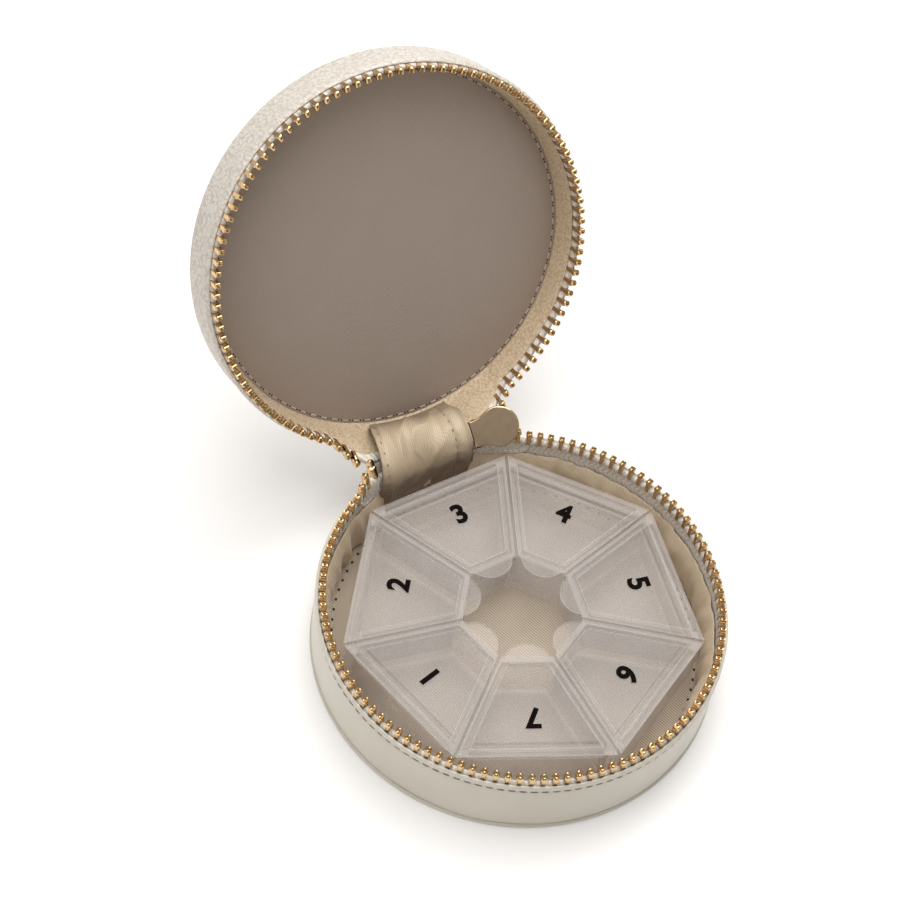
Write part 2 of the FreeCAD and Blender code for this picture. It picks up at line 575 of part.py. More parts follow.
def make_compartment_lid():
    """One lid, drawn outward along +X: a framed skin, a plug below it, a hinge barrel and a thumb tab."""
    outline = sector_outline(HOLE_EDGE, LID_EDGE, LID_GROOVE / 2)
    skin = prism(outline, SKIN_FOOT, TRAY_TOP)
    tab_centre = HOLE_EDGE + THUMB_RADIUS - THUMB_REACH
    tab = Part.makeCylinder(THUMB_RADIUS, LID_SKIN, vec(tab_centre, 0, SKIN_FOOT), UP)
    skin = skin.fuse(tab)
    inner = HOLE_EDGE + LID_FRAME_WIDTH
    outer = LID_EDGE - LID_FRAME_WIDTH
    window = sector_outline(inner, outer, LID_GROOVE / 2 + LID_FRAME_WIDTH)
    skin = skin.cut(prism(window, TRAY_TOP - LID_WINDOW_DROP, TRAY_TOP + 1))
    plug_in = HOLE_EDGE + TRAY_WALL + LID_FIT
    plug_out = TRAY_EDGE - POST_DEPTH - LID_FIT - LID_BARREL_RADIUS
    margin = PARTITION / 2 + LID_FIT
    plug = prism(sector_outline(plug_in, plug_out, margin), SKIN_FOOT - LID_PLUG_DEPTH, SKIN_FOOT)
    plug = plug.cut(prism(sector_outline(plug_in + LID_PLUG_WALL, plug_out - LID_PLUG_WALL,
                                         margin + LID_PLUG_WALL),
                          SKIN_FOOT - LID_PLUG_DEPTH - 1, SKIN_FOOT))
    half_side = TRAY_EDGE * math.tan(math.pi / TRAY_SIDES)
    barrel_half = half_side - POST_LENGTH - LID_FIT
    pin_half = barrel_half + LID_PIN_LENGTH
    barrel = Part.makeCylinder(LID_BARREL_RADIUS, 2 * barrel_half, vec(LID_AXIS_R, -barrel_half, LID_AXIS_Z),
                               vec(0, 1, 0))
    web = Part.makeBox(LID_BARREL_RADIUS * 1.4, 2 * barrel_half, SKIN_FOOT - LID_AXIS_Z,
                       vec(LID_AXIS_R - LID_BARREL_RADIUS * 0.7, -barrel_half, LID_AXIS_Z))
    pins = Part.makeCylinder(LID_PIN_RADIUS, 2 * pin_half, vec(LID_AXIS_R, -pin_half, LID_AXIS_Z),
                             vec(0, 1, 0))
    return skin.fuse([plug, barrel, web, pins]).removeSplitter()


def make_compartment_lids():
    """Seven like lids, one on each side of the tray."""
    lid = make_compartment_lid()
    for k in range(TRAY_SIDES):
        placed = lid.copy()
        placed.rotate(ORIGIN, UP, side_angle(k))
        save("compartment_lid_%d" % (k + 1), placed)


os.makedirs("parts", exist_ok=True)
make_base()
make_lid()
make_teeth()
save("zip_start_stop", make_zip_stop(STOP_START))
save("zip_end_stop", make_zip_stop(STOP_END))
pull_pin_y = make_slider()
make_hinge()
make_tray()
make_compartment_lids()

run_axis = half_open(Part.makeLine(vec(0, 0, ZIP_HEIGHT), vec(0, 0, ZIP_HEIGHT + 1)))
pull_pin = on_slider(Part.makeLine(vec(0, pull_pin_y, 0), vec(0, pull_pin_y, 1)))
print("hinge line", tuple(HINGE_LINE), "zip fold line", tuple(ZIP_FOLD_LINE), "teeth", TOOTH_COUNT)
print("floor top", FLOOR_TOP, "lid pad face", LID_PAD_FACE, "tray top", TRAY_TOP, "lid edge", LID_EDGE)
print("slider run axis", [tuple(v.Point) for v in run_axis.Vertexes])
print("pull pin axis", [tuple(v.Point) for v in pull_pin.Vertexes])
print("lid axis radius and height", LID_AXIS_R, LID_AXIS_Z)
print("side directions", [side_angle(k) for k in range(TRAY_SIDES)])
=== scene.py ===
"""A daily pill organizer: a round zip case of pale leather that holds a seven-part tray of frosted plastic."""
import math

import bmesh
import bpy
from mathutils import Matrix, Vector, noise


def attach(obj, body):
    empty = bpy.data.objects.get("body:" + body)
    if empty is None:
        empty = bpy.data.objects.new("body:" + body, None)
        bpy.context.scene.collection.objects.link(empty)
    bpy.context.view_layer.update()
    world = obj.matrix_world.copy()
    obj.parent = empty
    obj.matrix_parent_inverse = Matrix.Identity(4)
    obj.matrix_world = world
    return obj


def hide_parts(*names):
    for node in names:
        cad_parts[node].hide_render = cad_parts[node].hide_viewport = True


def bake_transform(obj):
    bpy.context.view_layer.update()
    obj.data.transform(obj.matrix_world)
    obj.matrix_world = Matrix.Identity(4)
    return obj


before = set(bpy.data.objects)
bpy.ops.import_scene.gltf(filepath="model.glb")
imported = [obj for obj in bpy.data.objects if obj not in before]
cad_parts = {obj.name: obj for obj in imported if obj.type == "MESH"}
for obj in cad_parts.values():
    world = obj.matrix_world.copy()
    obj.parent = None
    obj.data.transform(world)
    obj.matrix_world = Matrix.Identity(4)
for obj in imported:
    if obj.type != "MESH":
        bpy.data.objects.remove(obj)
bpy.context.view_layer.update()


# ------------------------------
# The underside
# A disc of smooth greige leather glued over board, a little wider than the wall,
# so that its rounded edge shows as a light lip under the wall's seam.
# ------------------------------
MM = 0.001


def linear(colour):
    """The linear RGBA of an sRGB hex colour."""
    parts = [int(colour[i:i + 2], 16) / 255 for i in (1, 3, 5)]
    return [p / 12.92 if p <= 0.04045 else ((p + 0.055) / 1.055) ** 2.4 for p in parts] + [1.0]


def node(owner, kind, inputs, **settings):
    """Adds a node of that kind, or takes the shader itself. An input is a socket to link, a hex colour or a value."""
    tree = owner.node_tree
    made = tree.nodes["Principled BSDF"] if kind == "shader" else tree.nodes.new(kind)
    for key, value in settings.items():
        setattr(made, key, value)
    for key, value in inputs.items():
        if isinstance(value, bpy.types.NodeSocket):
            tree.links.new(value, made.inputs[key])
        else:
            made.inputs[key].default_value = linear(value) if isinstance(value, str) else value
    return made


def finish_of(name, **constants):
    """A new material with its own Principled shader, and the constants that stand on the shader's sockets."""
    made = bpy.data.materials.new(name)
    made.use_nodes = True
    node(made, "shader", {key.replace("_", " "): value for key, value in constants.items()})
    return made


def turned(outline, steps=240):
    """A bmesh of an outline of (radius, height) points in mm, spun once round the case's axis."""
    bm = bmesh.new()
    line = [bm.verts.new((r * MM, 0.0, z * MM)) for r, z in outline]
    joined = list(zip(line, line[1:]))
    if outline[0][0] > 0:
        joined.append((line[-1], line[0]))
    rim = [bm.edges.new(pair) for pair in joined]
    bmesh.ops.spin(bm, geom=line + rim, cent=(0, 0, 0), axis=(0, 0, 1), dvec=(0, 0, 0),
                   angle=2 * math.pi, steps=steps, use_merge=True, use_duplicate=False)
    bmesh.ops.remove_doubles(bm, verts=bm.verts, dist=1e-7)
    bmesh.ops.recalc_face_normals(bm, faces=bm.faces)
    return bm


def made_piece(name, bm, material, body=None, sharp=40):
    """The bmesh as an object of that material, smooth but for its sharp edges, riding on a body."""
    mesh = bpy.data.meshes.new(name)
    bm.to_mesh(mesh)
    bm.free()
    mesh.shade_smooth()
    mesh.set_sharp_from_angle(angle=math.radians(sharp))
    mesh.materials.append(material)
    piece = bpy.data.objects.new(name, mesh)
    bpy.context.scene.collection.objects.link(piece)
    if body:
        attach(piece, body)
    return piece


# Smooth calf: a satin gloss, faint pores and slow greige clouds, so that highlights break a little. Real
# pores are under 0.2 mm and wouldn't show, so they are drawn 0.5 mm apart.
smooth_leather = finish_of("smooth greige leather", Coat_Weight=0.25, Coat_Roughness=0.22, Specular_IOR_Level=0.45)
spot = node(smooth_leather, "ShaderNodeTexCoord", {}).outputs["Object"]
clouds = node(smooth_leather, "ShaderNodeTexNoise", {"Vector": spot, "Scale": 70, "Detail": 3}).outputs["Fac"]
pores = node(smooth_leather, "ShaderNodeTexVoronoi", {"Vector": spot, "Scale": 1900},
             feature="SMOOTH_F1").outputs["Distance"]
creases = node(smooth_leather, "ShaderNodeTexNoise", {"Vector": spot, "Scale": 420, "Detail": 4}).outputs["Fac"]
tint = node(smooth_leather, "ShaderNodeMix", {0: clouds, 6: "#D7D0C0", 7: "#E6DFD0"}, data_type="RGBA").outputs[2]
gloss = node(smooth_leather, "ShaderNodeMapRange", {"Value": creases, "To Min": 0.3, "To Max": 0.46}).outputs[0]
grain = node(smooth_leather, "ShaderNodeMath", {0: pores, 1: creases}, operation="ADD").outputs[0]
relief = node(smooth_leather, "ShaderNodeBump", {"Height": grain, "Strength": 0.35, "Distance": 0.00004}).outputs[0]
node(smooth_leather, "shader", {"Base Color": tint, "Roughness": gloss, "Normal": relief})

disc = turned([
    (0, 0), (44, 0), (51.0, 0), (51.6, 0.1), (51.9, 0.4), (51.9, 0.75), (51.62, 1.02), (50.9, 1.1),
    (44, 1.1), (0, 1.1),
])
underside = made_piece("underside_leather", disc, smooth_leather, "case_base")
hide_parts("base_bottom_panel")


# ------------------------------
# The base's wall
# A strip of the same leather round a board ring. Its top is turned in over the zip's tape as a soft
# rolled hem and topstitched once round; at the hinge it is cut lower, so that the lid can swing.
# ------------------------------
ZIP_HEIGHT = 22.0
NOTCH_RIGHT = 23.47
NOTCH_DEPTH = 6.0


def hinge_dip(x, y, gap, left=-NOTCH_RIGHT, left_slope=6.0, right_slope=3.0):
    """How far the edge of a wall or tape drops at the hinge, if it lies gap mm from the zip's height."""
    if y < 0:
        return 0.0
    from_left = max(0.0, (x - left + left_slope) / left_slope)
    from_right = max(0.0, (NOTCH_RIGHT + right_slope - x) / right_slope)
    return max(0.0, NOTCH_DEPTH * min(1.0, from_left, from_right) - gap)


def dipped_at_hinge(bm, edge, root, foot, **notch):
    """Lowers the wall's edge into the hinge's notch, moving all that lies past root and easing out towards foot."""
    way = 1 if edge > foot else -1
    for v in bm.verts:
        x, y, z = v.co / MM
        dip = hinge_dip(x, y, abs(ZIP_HEIGHT - edge), **notch)
        share = min(1.0, max(0.0, (z - foot) / (root - foot)))
        v.co.z -= way * dip * share * MM


def waved(bm, amount, size, seed=0.0):
    """Moves a wall in and out by up to amount mm, in waves size mm long, as hand-glued leather has."""
    for v in bm.verts:
        swell = noise.noise(v.co / (size * MM) + Vector((seed, 0, 0))) * amount * MM
        v.co += Vector((v.co.x, v.co.y, 0)).normalized() * swell


BASE_HEM = 20.3
wall = turned([
    (50.2, 1.12), (50.9, 1.12), (51.25, 1.22), (51.48, 1.55), (51.58, 2.2), (51.62, 3.2), (51.64, 6.0),
    (51.62, 11.0), (51.56, 15.5), (51.52, 17.0), (51.46, 17.55), (51.34, 17.9), (51.3, 18.15), (51.4, 18.42),
    (51.6, 18.72), (51.75, 19.12), (51.78, 19.5), (51.68, 19.95), (51.48, 20.22), (51.28, 20.32),
    (51.05, 20.25), (50.84, 20.05), (50.74, 19.7), (50.74, 18.8), (50.45, 17.9), (50.43, 11.0),
])
waved(wall, amount=0.16, size=17)
dipped_at_hinge(wall, BASE_HEM, root=17.3, foot=6.0)
base_wall = made_piece("base_wall_leather", wall, smooth_leather, "case_base", sharp=80)
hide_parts("base_side_band")


def flecked(material, dark, light, scale, detail, rise=None):
    """Two tones in fine flecks, as fibres, thread and ink have; rise is the strength and depth of their relief."""
    spot = node(material, "ShaderNodeTexCoord", {}).outputs["Object"]
    flecks = node(material, "ShaderNodeTexNoise", {"Vector": spot, "Scale": scale, "Detail": detail}).outputs["Fac"]
    tint = node(material, "ShaderNodeMix", {0: flecks, 6: dark, 7: light}, data_type="RGBA").outputs[2]
    node(material, "shader", {"Base Color": tint})
    if rise:
        strength, distance = rise
        relief = node(material, "ShaderNodeBump", {"Height": flecks, "Strength": strength, "Distance": distance})
        node(material, "shader", {"Normal": relief.outputs[0]})


# Waxed thread: round, slightly fuzzy, greige and darker than the leather.
wall_thread = finish_of("greige waxed thread", Roughness=0.62)
flecked(wall_thread, "#85796D", "#A99E91", scale=3500, detail=2, rise=(0.5, 0.00003))


def sewn(name, places, material, body, length, width):
    """A row of stitches, each a short thread sunk at its ends, from its middle, its run and its outward way."""
    bm = bmesh.new()
    for middle, run, outward in places:
        out = Vector(outward).normalized()
        along = Vector(run).normalized()
        turn = Matrix((along, out.cross(along), out)).transposed().to_4x4()
        turn.translation = Vector(middle) * MM
        size = Matrix.Diagonal((length * MM, width * MM, width * 0.8 * MM, 1))
        bmesh.ops.create_uvsphere(bm, u_segments=8, v_segments=6, radius=0.5, matrix=turn @ size)
    return made_piece(name, bm, material, body, sharp=180)


TOPSTITCHES = 120
TOPSTITCH_RADIUS, TOPSTITCH_HEIGHT = 51.42, 18.12
places = []
for k in range(TOPSTITCHES):
    turn = math.radians(360 / TOPSTITCHES * k)
    x, y = TOPSTITCH_RADIUS * math.cos(turn), TOPSTITCH_RADIUS * math.sin(turn)
    z = TOPSTITCH_HEIGHT - hinge_dip(x, y, ZIP_HEIGHT - BASE_HEM)
    places.append(((x, y, z), (-y, x, 0), (x, y, 0)))
stitches = sewn("base_wall_topstitch", places, wall_thread, "case_base", length=1.85, width=0.6)


# ------------------------------
# The boards
# Grey bookbinder's board stiffens the floor, the lid and both walls; all of it is glued in between
# leather and satin, so it shows only where the walls are notched for the hinge.
# ------------------------------
# Raw pulp board: matt grey with short fibres.
board = finish_of("grey binder's board", Roughness=0.85)
flecked(board, "#8E8980", "#B4AEA3", scale=1400, detail=5, rise=(0.4, 0.00005))
for name in ("base_stiffener_ring", "base_bottom_board", "lid_stiffener_ring", "lid_board"):
    bpy.data.objects[name].material_slots[0].material = board


# ------------------------------
# The base's floor
# A thin pad covered in beige satin with a fine diagonal twill, held down by a row of stitches
# near its edge, whose needle holes pull the satin into small dimples.
# ------------------------------
# A wave texture of scale 1 has its ridges this many mm apart.
WAVE_LENGTH = 314.16


def twilled(material, dark, light, pitch, turn, depth, tilt=0.0, fold_shade=None):
    """Satin twill: ridges pitch mm apart over faint weft and slow creases; if a shade colour is given, it is painted
    down in the folds as shade.
    """
    spot = node(material, "ShaderNodeTexCoord", {}).outputs["Object"]
    laid = node(material, "ShaderNodeMapping", {"Vector": spot, "Rotation": (tilt, 0, math.radians(turn))}).outputs[0]
    ridges = node(material, "ShaderNodeTexWave", {
        "Vector": laid, "Scale": WAVE_LENGTH / pitch, "Distortion": 0.6, "Detail": 2, "Detail Scale": 1.5,
    }, bands_direction="X").outputs["Fac"]
    weft = node(material, "ShaderNodeTexWave", {
        "Vector": laid, "Scale": WAVE_LENGTH / (pitch * 0.7), "Distortion": 0.4,
    }, bands_direction="Y").outputs["Fac"]
    creases = node(material, "ShaderNodeTexNoise", {"Vector": spot, "Scale": 90, "Detail": 4}).outputs["Fac"]
    threads = node(material, "ShaderNodeMath", {0: weft, 1: 0.6, 2: ridges}, operation="MULTIPLY_ADD").outputs[0]
    shade = node(material, "ShaderNodeMath", {0: creases, 1: 0.6, 2: threads}, operation="MULTIPLY_ADD").outputs[0]
    mixed = node(material, "ShaderNodeMapRange", {"Value": shade, "From Min": 0.2, "From Max": 1.9}).outputs[0]
    tint = node(material, "ShaderNodeMix", {0: mixed, 6: dark, 7: light}, data_type="RGBA").outputs[2]
    if fold_shade:
        # Painted shade: the shade colour is mixed in where ambient occlusion finds the cloth folded in.
        open_air = node(material, "ShaderNodeAmbientOcclusion", {"Distance": 0.035}, samples=6).outputs["AO"]
        raised = node(material, "ShaderNodeMapRange", {"Value": open_air, "From Min": 0.4, "From Max": 0.93})
        tint = node(material, "ShaderNodeMix", {0: raised.outputs[0], 6: fold_shade, 7: tint}, data_type="RGBA").outputs[2]
    fine = node(material, "ShaderNodeBump", {"Height": threads, "Strength": 0.6, "Distance": depth * MM}).outputs[0]
    soft = node(material, "ShaderNodeBump", {"Height": creases, "Strength": 0.35, "Distance": 0.0003, "Normal": fine})
    node(material, "shader", {"Base Color": tint, "Normal": soft.outputs[0]})


# Polyester satin: a soft broad sheen along ridges 0.63 mm apart. Its single threads are under 0.1 mm, too
# fine to show, and are drawn as a weft as coarse as 0.44 mm.
floor_satin = finish_of("beige satin twill", Roughness=0.5, Sheen_Weight=0.25, Sheen_Roughness=0.4)
twilled(floor_satin, "#85735F", "#DACBB7", pitch=0.63, turn=-21, depth=0.09)

pad = turned([
    (0, 2.62), (20, 2.62), (36, 2.62), (44.5, 2.61), (45.9, 2.56), (46.3, 2.42), (46.7, 2.4), (47.1, 2.52),
    (47.9, 2.58), (48.4, 2.45), (48.66, 2.15), (48.6, 1.82), (44, 1.8), (0, 1.8),
])
floor_pad = made_piece("base_floor_satin_pad", pad, floor_satin, "case_base", sharp=80)
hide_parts("base_floor_pad")

# Needle holes: the cloth pulled down into shadow, as dull dark pits.
needle_hole = finish_of("shadowed needle hole", Roughness=0.95, Specular_IOR_Level=0.1)
flecked(needle_hole, "#2A211B", "#4A3D33", scale=4000, detail=2)

# Pale cotton thread: round and a little fuzzy, cream against satin.
pale_thread = finish_of("pale cotton thread", Roughness=0.7)
flecked(pale_thread, "#B9AD9E", "#DCD2C4", scale=3500, detail=2, rise=(0.5, 0.00003))

FLOOR_STITCHES = 96
FLOOR_SEAM_RADIUS, FLOOR_SEAM_HEIGHT = 46.5, 2.4
places, holes = [], []
for k in range(FLOOR_STITCHES):
    for row, share in ((holes, k), (places, k + 0.5)):
        turn = 2 * math.pi * share / FLOOR_STITCHES
        x, y = math.cos(turn), math.sin(turn)
        row.append(((FLOOR_SEAM_RADIUS * x, FLOOR_SEAM_RADIUS * y, FLOOR_SEAM_HEIGHT), (-y, x, 0), (0, 0, 1)))
sewn("base_floor_stitches", places, pale_thread, "case_base", length=2.3, width=0.34)
sewn("base_floor_needle_holes", holes, needle_hole, "case_base", length=0.9, width=0.72)


# ------------------------------
# The base's wall lining
# Cream satin gathered round the wall in soft upright folds, with its top edge glued to the zip's
# tape; the folds are deeper in places, where the cloth was eased round the curve.
# ------------------------------
# Thin satin, smoother than the floor's and so a little glossier on its folds, with its threads drawn as
# coarse as 0.5 mm, so that they show.
satin_lining = finish_of("cream gathered satin", Roughness=0.42, Sheen_Weight=0.3, Sheen_Roughness=0.35,
                         Specular_IOR_Level=0.55)
twilled(satin_lining, "#CDB799", "#E3D0B4", pitch=0.5, turn=28, depth=0.016, tilt=0.9)


def gathered(bm, foot, edge, depth, seed):
    """Gathers a wall of satin: folds that deepen towards its edge, and an edge that wanders up and down."""
    for v in bm.verts:
        turn = math.atan2(v.co.y, v.co.x)
        rise = min(1.0, max(0.0, (v.co.z / MM - foot) / (edge - foot)))
        around = Vector((math.cos(turn) * 9, math.sin(turn) * 9, seed + 0.35 * rise))
        folds = noise.noise(around * 1.15) + 0.5 * noise.noise(around * 2.1 + Vector((4, 0, 0)))
        crease = abs(noise.noise(around * 1.3 + Vector((0, 7, v.co.z * 60)))) ** 0.5
        fullness = 0.25 + 0.75 * math.sin(math.pi * min(1, rise * 1.05)) ** 0.7
        inward = depth * fullness * (0.75 + 0.7 * folds - 0.55 * crease)
        out = Vector((math.cos(turn), math.sin(turn), 0))
        v.co -= out * max(-0.15, inward) * MM
        wander = rise ** 3 * 0.9 * noise.noise(around * 2.6 + Vector((0, 0, 3)))
        v.co.z += wander * (1 if edge > foot else -1) * MM


lining = turned([
    (48.55, 2.45), (48.4, 3.2), (48.4, 4.5), (48.4, 6.5), (48.4, 8.5), (48.4, 10.5), (48.45, 12.0),
    (48.6, 13.2), (48.95, 14.2), (49.35, 14.75), (49.7, 14.9), (49.72, 14.6), (49.4, 14.3), (49.05, 13.5),
    (48.85, 12.0), (48.8, 6.5), (48.85, 2.45),
], steps=480)
gathered(lining, foot=2.65, edge=14.3, depth=2.3, seed=1.7)
base_lining = made_piece("base_gathered_lining", lining, satin_lining, "case_base", sharp=180)
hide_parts("base_wall_lining")


# ------------------------------
# The zip's tape
# A white woven tape in each half, with a herringbone weave and a corded edge that carries the
# teeth; it is sewn in behind the leather hem and lies flat against the wall.
# ------------------------------
# Woven polyester: matt and a little fuzzy, with a herringbone whose real bands are about 1 mm wide. They
# would hardly show, so they are drawn 1.6 mm wide, with their ribs 1.4 mm apart.
BAND_WIDTH, RIB_PHASE, RIB_LEAN = 1.6, 230.0, 4.0
zip_tape = finish_of("white herringbone tape", Roughness=0.78, Sheen_Weight=0.4, Sheen_Roughness=0.4)
spot = node(zip_tape, "ShaderNodeTexCoord", {}).outputs["Object"]
parts = node(zip_tape, "ShaderNodeSeparateXYZ", {0: spot}).outputs
swing = node(zip_tape, "ShaderNodeMath", {0: parts[1], 1: parts[0]}, operation="ARCTAN2").outputs[0]
slant = node(zip_tape, "ShaderNodeMath", {0: parts[2], 1: 1 / (BAND_WIDTH * MM)}, operation="MULTIPLY").outputs[0]
zigzag = node(zip_tape, "ShaderNodeMath", {0: slant, 1: 1.0}, operation="PINGPONG").outputs[0]
lean = node(zip_tape, "ShaderNodeMath", {0: zigzag, 1: RIB_LEAN}, operation="MULTIPLY").outputs[0]
run = node(zip_tape, "ShaderNodeMath", {0: swing, 1: RIB_PHASE, 2: lean},
           operation="MULTIPLY_ADD").outputs[0]
rib = node(zip_tape, "ShaderNodeMath", {0: run}, operation="SINE").outputs[0]
fuzz = node(zip_tape, "ShaderNodeTexNoise", {"Vector": spot, "Scale": 2600, "Detail": 3}).outputs["Fac"]
weave = node(zip_tape, "ShaderNodeMath", {0: rib, 1: 0.34, 2: fuzz}, operation="MULTIPLY_ADD").outputs[0]
mixed = node(zip_tape, "ShaderNodeMapRange", {"Value": weave, "From Min": 0.2, "From Max": 0.95}).outputs[0]
tint = node(zip_tape, "ShaderNodeMix", {0: mixed, 6: "#E8DBC9", 7: "#FFFAF1"}, data_type="RGBA").outputs[2]
relief = node(zip_tape, "ShaderNodeBump", {"Height": weave, "Strength": 0.9, "Distance": 0.0003}).outputs[0]
node(zip_tape, "shader", {"Base Color": tint, "Normal": relief})

TAPE_EDGE = 20.55
TAPE_OUTLINE = [
    (49.72, 13.2), (50.28, 13.2), (50.28, 16.6), (50.3, 18.6), (50.5, 19.0), (50.68, 19.5), (50.66, 20.0),
    (50.4, 20.42), (50.0, TAPE_EDGE), (49.6, 20.42), (49.34, 20.0), (49.32, 19.5), (49.5, 19.0), (49.7, 18.6),
    (49.72, 16.6),
]
tape = turned(TAPE_OUTLINE)
dipped_at_hinge(tape, TAPE_EDGE, root=19.0, foot=13.6, left=-22.5, left_slope=3.0, right_slope=0.7)
base_tape = made_piece("base_zip_tape_woven", tape, zip_tape, "case_base", sharp=80)
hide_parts("base_zipper_tape")


# ------------------------------
# The zip's metal
# Die-cast teeth, stops and slider, plated in warm gold: bright on the crowns, with painted shade in the
# dimples, fine scratches and a slightly satin face on the slider's plates.
# ------------------------------
def plated(name, pale, deep, recess_shade, low, high, scratch):
    """Gold plate: small clouds of colour, a painted brown shade in its recesses, and a polish broken by fine brushed
    scratches.
    """
    made = finish_of(name, Metallic=1.0)
    spot = node(made, "ShaderNodeTexCoord", {}).outputs["Object"]
    clouds = node(made, "ShaderNodeTexNoise", {"Vector": spot, "Scale": 650, "Detail": 3}).outputs["Fac"]
    brushed = node(made, "ShaderNodeMapping", {"Vector": spot, "Scale": (900, 5200, 2200)}).outputs[0]
    lines = node(made, "ShaderNodeTexNoise", {"Vector": brushed, "Scale": 1.0, "Detail": 2}).outputs["Fac"]
    # Painted shade: the recess colour is mixed in where ambient occlusion finds a hollow, such as a tooth's dimple.
    open_air = node(made, "ShaderNodeAmbientOcclusion", {"Distance": 0.0009}, samples=6).outputs["AO"]
    plate = node(made, "ShaderNodeMix", {0: clouds, 6: deep, 7: pale}, data_type="RGBA").outputs[2]
    unshaded_share = node(made, "ShaderNodeMapRange", {"Value": open_air, "From Min": 0.62, "From Max": 0.93}).outputs[0]
    tint = node(made, "ShaderNodeMix", {0: unshaded_share, 6: recess_shade, 7: plate}, data_type="RGBA").outputs[2]
    polish = node(made, "ShaderNodeMapRange", {"Value": lines, "To Min": low, "To Max": high}).outputs[0]
    relief = node(made, "ShaderNodeBump", {"Height": lines, "Strength": scratch, "Distance": 0.00002}).outputs[0]
    node(made, "shader", {"Base Color": tint, "Roughness": polish, "Normal": relief})
    return made


# Bright gold on zinc, mirror-like on the teeth and brushed to a greyer satin on the slider.
# The third colour of each is painted shade, dark brown for its hollows.
tooth_gold = plated("gold plated zip teeth", "#F0D3A4", "#CFA46C", "#33200F", low=0.13, high=0.24, scratch=0.12)
slider_gold = plated("satin gold slider", "#C8B093", "#B39C80", "#5A4630", low=0.26, high=0.38, scratch=0.25)
for name in ("base_zipper_teeth", "lid_zipper_teeth", "zip_end_stop"):
    bpy.data.objects[name].material_slots[0].material = tooth_gold
for name in ("slider_wedge", "slider_crown", "zip_pull"):
    bpy.data.objects[name].material_slots[0].material = slider_gold


def eased_copy(name, node_name, material, body, width, cut=None, clamped=True):
    """A moulded part from its CAD solid: facets merged, edges rounded to width mm, and a line cut in at a plane."""
    bm = bmesh.new()
    bm.from_mesh(bpy.data.objects[node_name].data)
    bmesh.ops.remove_doubles(bm, verts=bm.verts, dist=2e-6)
    bmesh.ops.dissolve_limit(bm, angle_limit=math.radians(1), verts=bm.verts, edges=bm.edges)
    sharp = [e for e in bm.edges if e.is_manifold and e.calc_face_angle(0) > math.radians(35)]
    bmesh.ops.bevel(bm, geom=sharp, offset=width * MM, segments=2, profile=0.5, affect="EDGES", material=-1,
                    clamp_overlap=clamped)
    if cut:
        everything = bm.verts[:] + bm.edges[:] + bm.faces[:]
        bmesh.ops.bisect_plane(bm, geom=everything, plane_co=cut[0], plane_no=cut[1], dist=1e-7)
    bmesh.ops.triangulate(bm, faces=[f for f in bm.faces if len(f.verts) > 4])
    part = made_piece(name, bm, material, body, sharp=50)
    part.modifiers.new("even shading", "WEIGHTED_NORMAL").keep_sharp = True
    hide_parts(node_name)
    return part


# The slider's plates: a satin face between bright rounded edges.
FLAT_ENOUGH = 0.97
for side in ("outer", "inner"):
    plate = eased_copy(f"slider_{side}_plate_plated", f"slider_{side}_plate", slider_gold, "zip_slider",
                       width=0.3, clamped=False)
    plate.data.materials.append(tooth_gold)
    broad = max(plate.data.polygons, key=lambda face: face.area).normal.copy()
    for face in plate.data.polygons:
        if abs(face.normal.dot(broad)) < FLAT_ENOUGH:
            face.material_index = 1

# The stop at the left: a small bar crimped over both tapes, rounded at its ends.
STOP_MIDDLE, STOP_BEARING = Vector((-18.7, 49.25, 22.5)), math.radians(21)
STOP_WIDTH, STOP_THICKNESS, STOP_HEIGHT = 2.3, 2.0, 2.7
bm = bmesh.new()
bar = Matrix.Diagonal((STOP_WIDTH * MM, STOP_THICKNESS * MM, STOP_HEIGHT * MM, 1))
seat = Matrix.Translation(STOP_MIDDLE * MM) @ Matrix.Rotation(STOP_BEARING, 4, "Z")
bmesh.ops.create_cube(bm, size=1.0, matrix=seat @ bar)
bmesh.ops.bevel(bm, geom=bm.edges[:], offset=0.6 * MM, segments=4, profile=0.5, affect="EDGES", material=-1,
                clamp_overlap=True)
left_stop = made_piece("zip_left_stop_rounded", bm, tooth_gold, "zip_ends", sharp=60)
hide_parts("zip_start_stop")


# ------------------------------
# The lid's leather
# Off-white leather embossed with a fine pebble, over the board of the lid and round its wall;
# the edge between them is rounded by hand and the hem over the zip's tape is rolled like the base's.
# ------------------------------
def pebbled(material, pale, dark, valley_colour, size, depth):
    """Embossed leather: rounded pebbles size mm across with darker valleys, over slow clouds of colour."""
    spot = node(material, "ShaderNodeTexCoord", {}).outputs["Object"]
    wander = node(material, "ShaderNodeTexNoise", {"Vector": spot, "Scale": 260, "Detail": 2}).outputs["Color"]
    bent = node(material, "ShaderNodeMix", {0: 0.0012, 4: spot, 5: wander}, data_type="VECTOR").outputs[1]
    pebbles = node(material, "ShaderNodeTexVoronoi", {"Vector": bent, "Scale": 1 / (size * MM), "Smoothness": 0.35},
                   feature="SMOOTH_F1").outputs["Distance"]
    clouds = node(material, "ShaderNodeTexNoise", {"Vector": spot, "Scale": 60, "Detail": 3}).outputs["Fac"]
    valley = node(material, "ShaderNodeMapRange", {"Value": pebbles, "From Min": 0.3, "From Max": 0.75}).outputs[0]
    tint = node(material, "ShaderNodeMix", {0: clouds, 6: dark, 7: pale}, data_type="RGBA").outputs[2]
    shaded = node(material, "ShaderNodeMix", {0: valley, 6: tint, 7: valley_colour}, data_type="RGBA").outputs[2]
    height = node(material, "ShaderNodeMath", {0: 1.0, 1: valley}, operation="SUBTRACT").outputs[0]
    relief = node(material, "ShaderNodeBump", {"Height": height, "Strength": 0.8, "Distance": depth * MM}).outputs[0]
    gloss = node(material, "ShaderNodeMapRange", {"Value": valley, "To Min": 0.34, "To Max": 0.6}).outputs[0]
    node(material, "shader", {"Base Color": shaded, "Roughness": gloss, "Normal": relief})


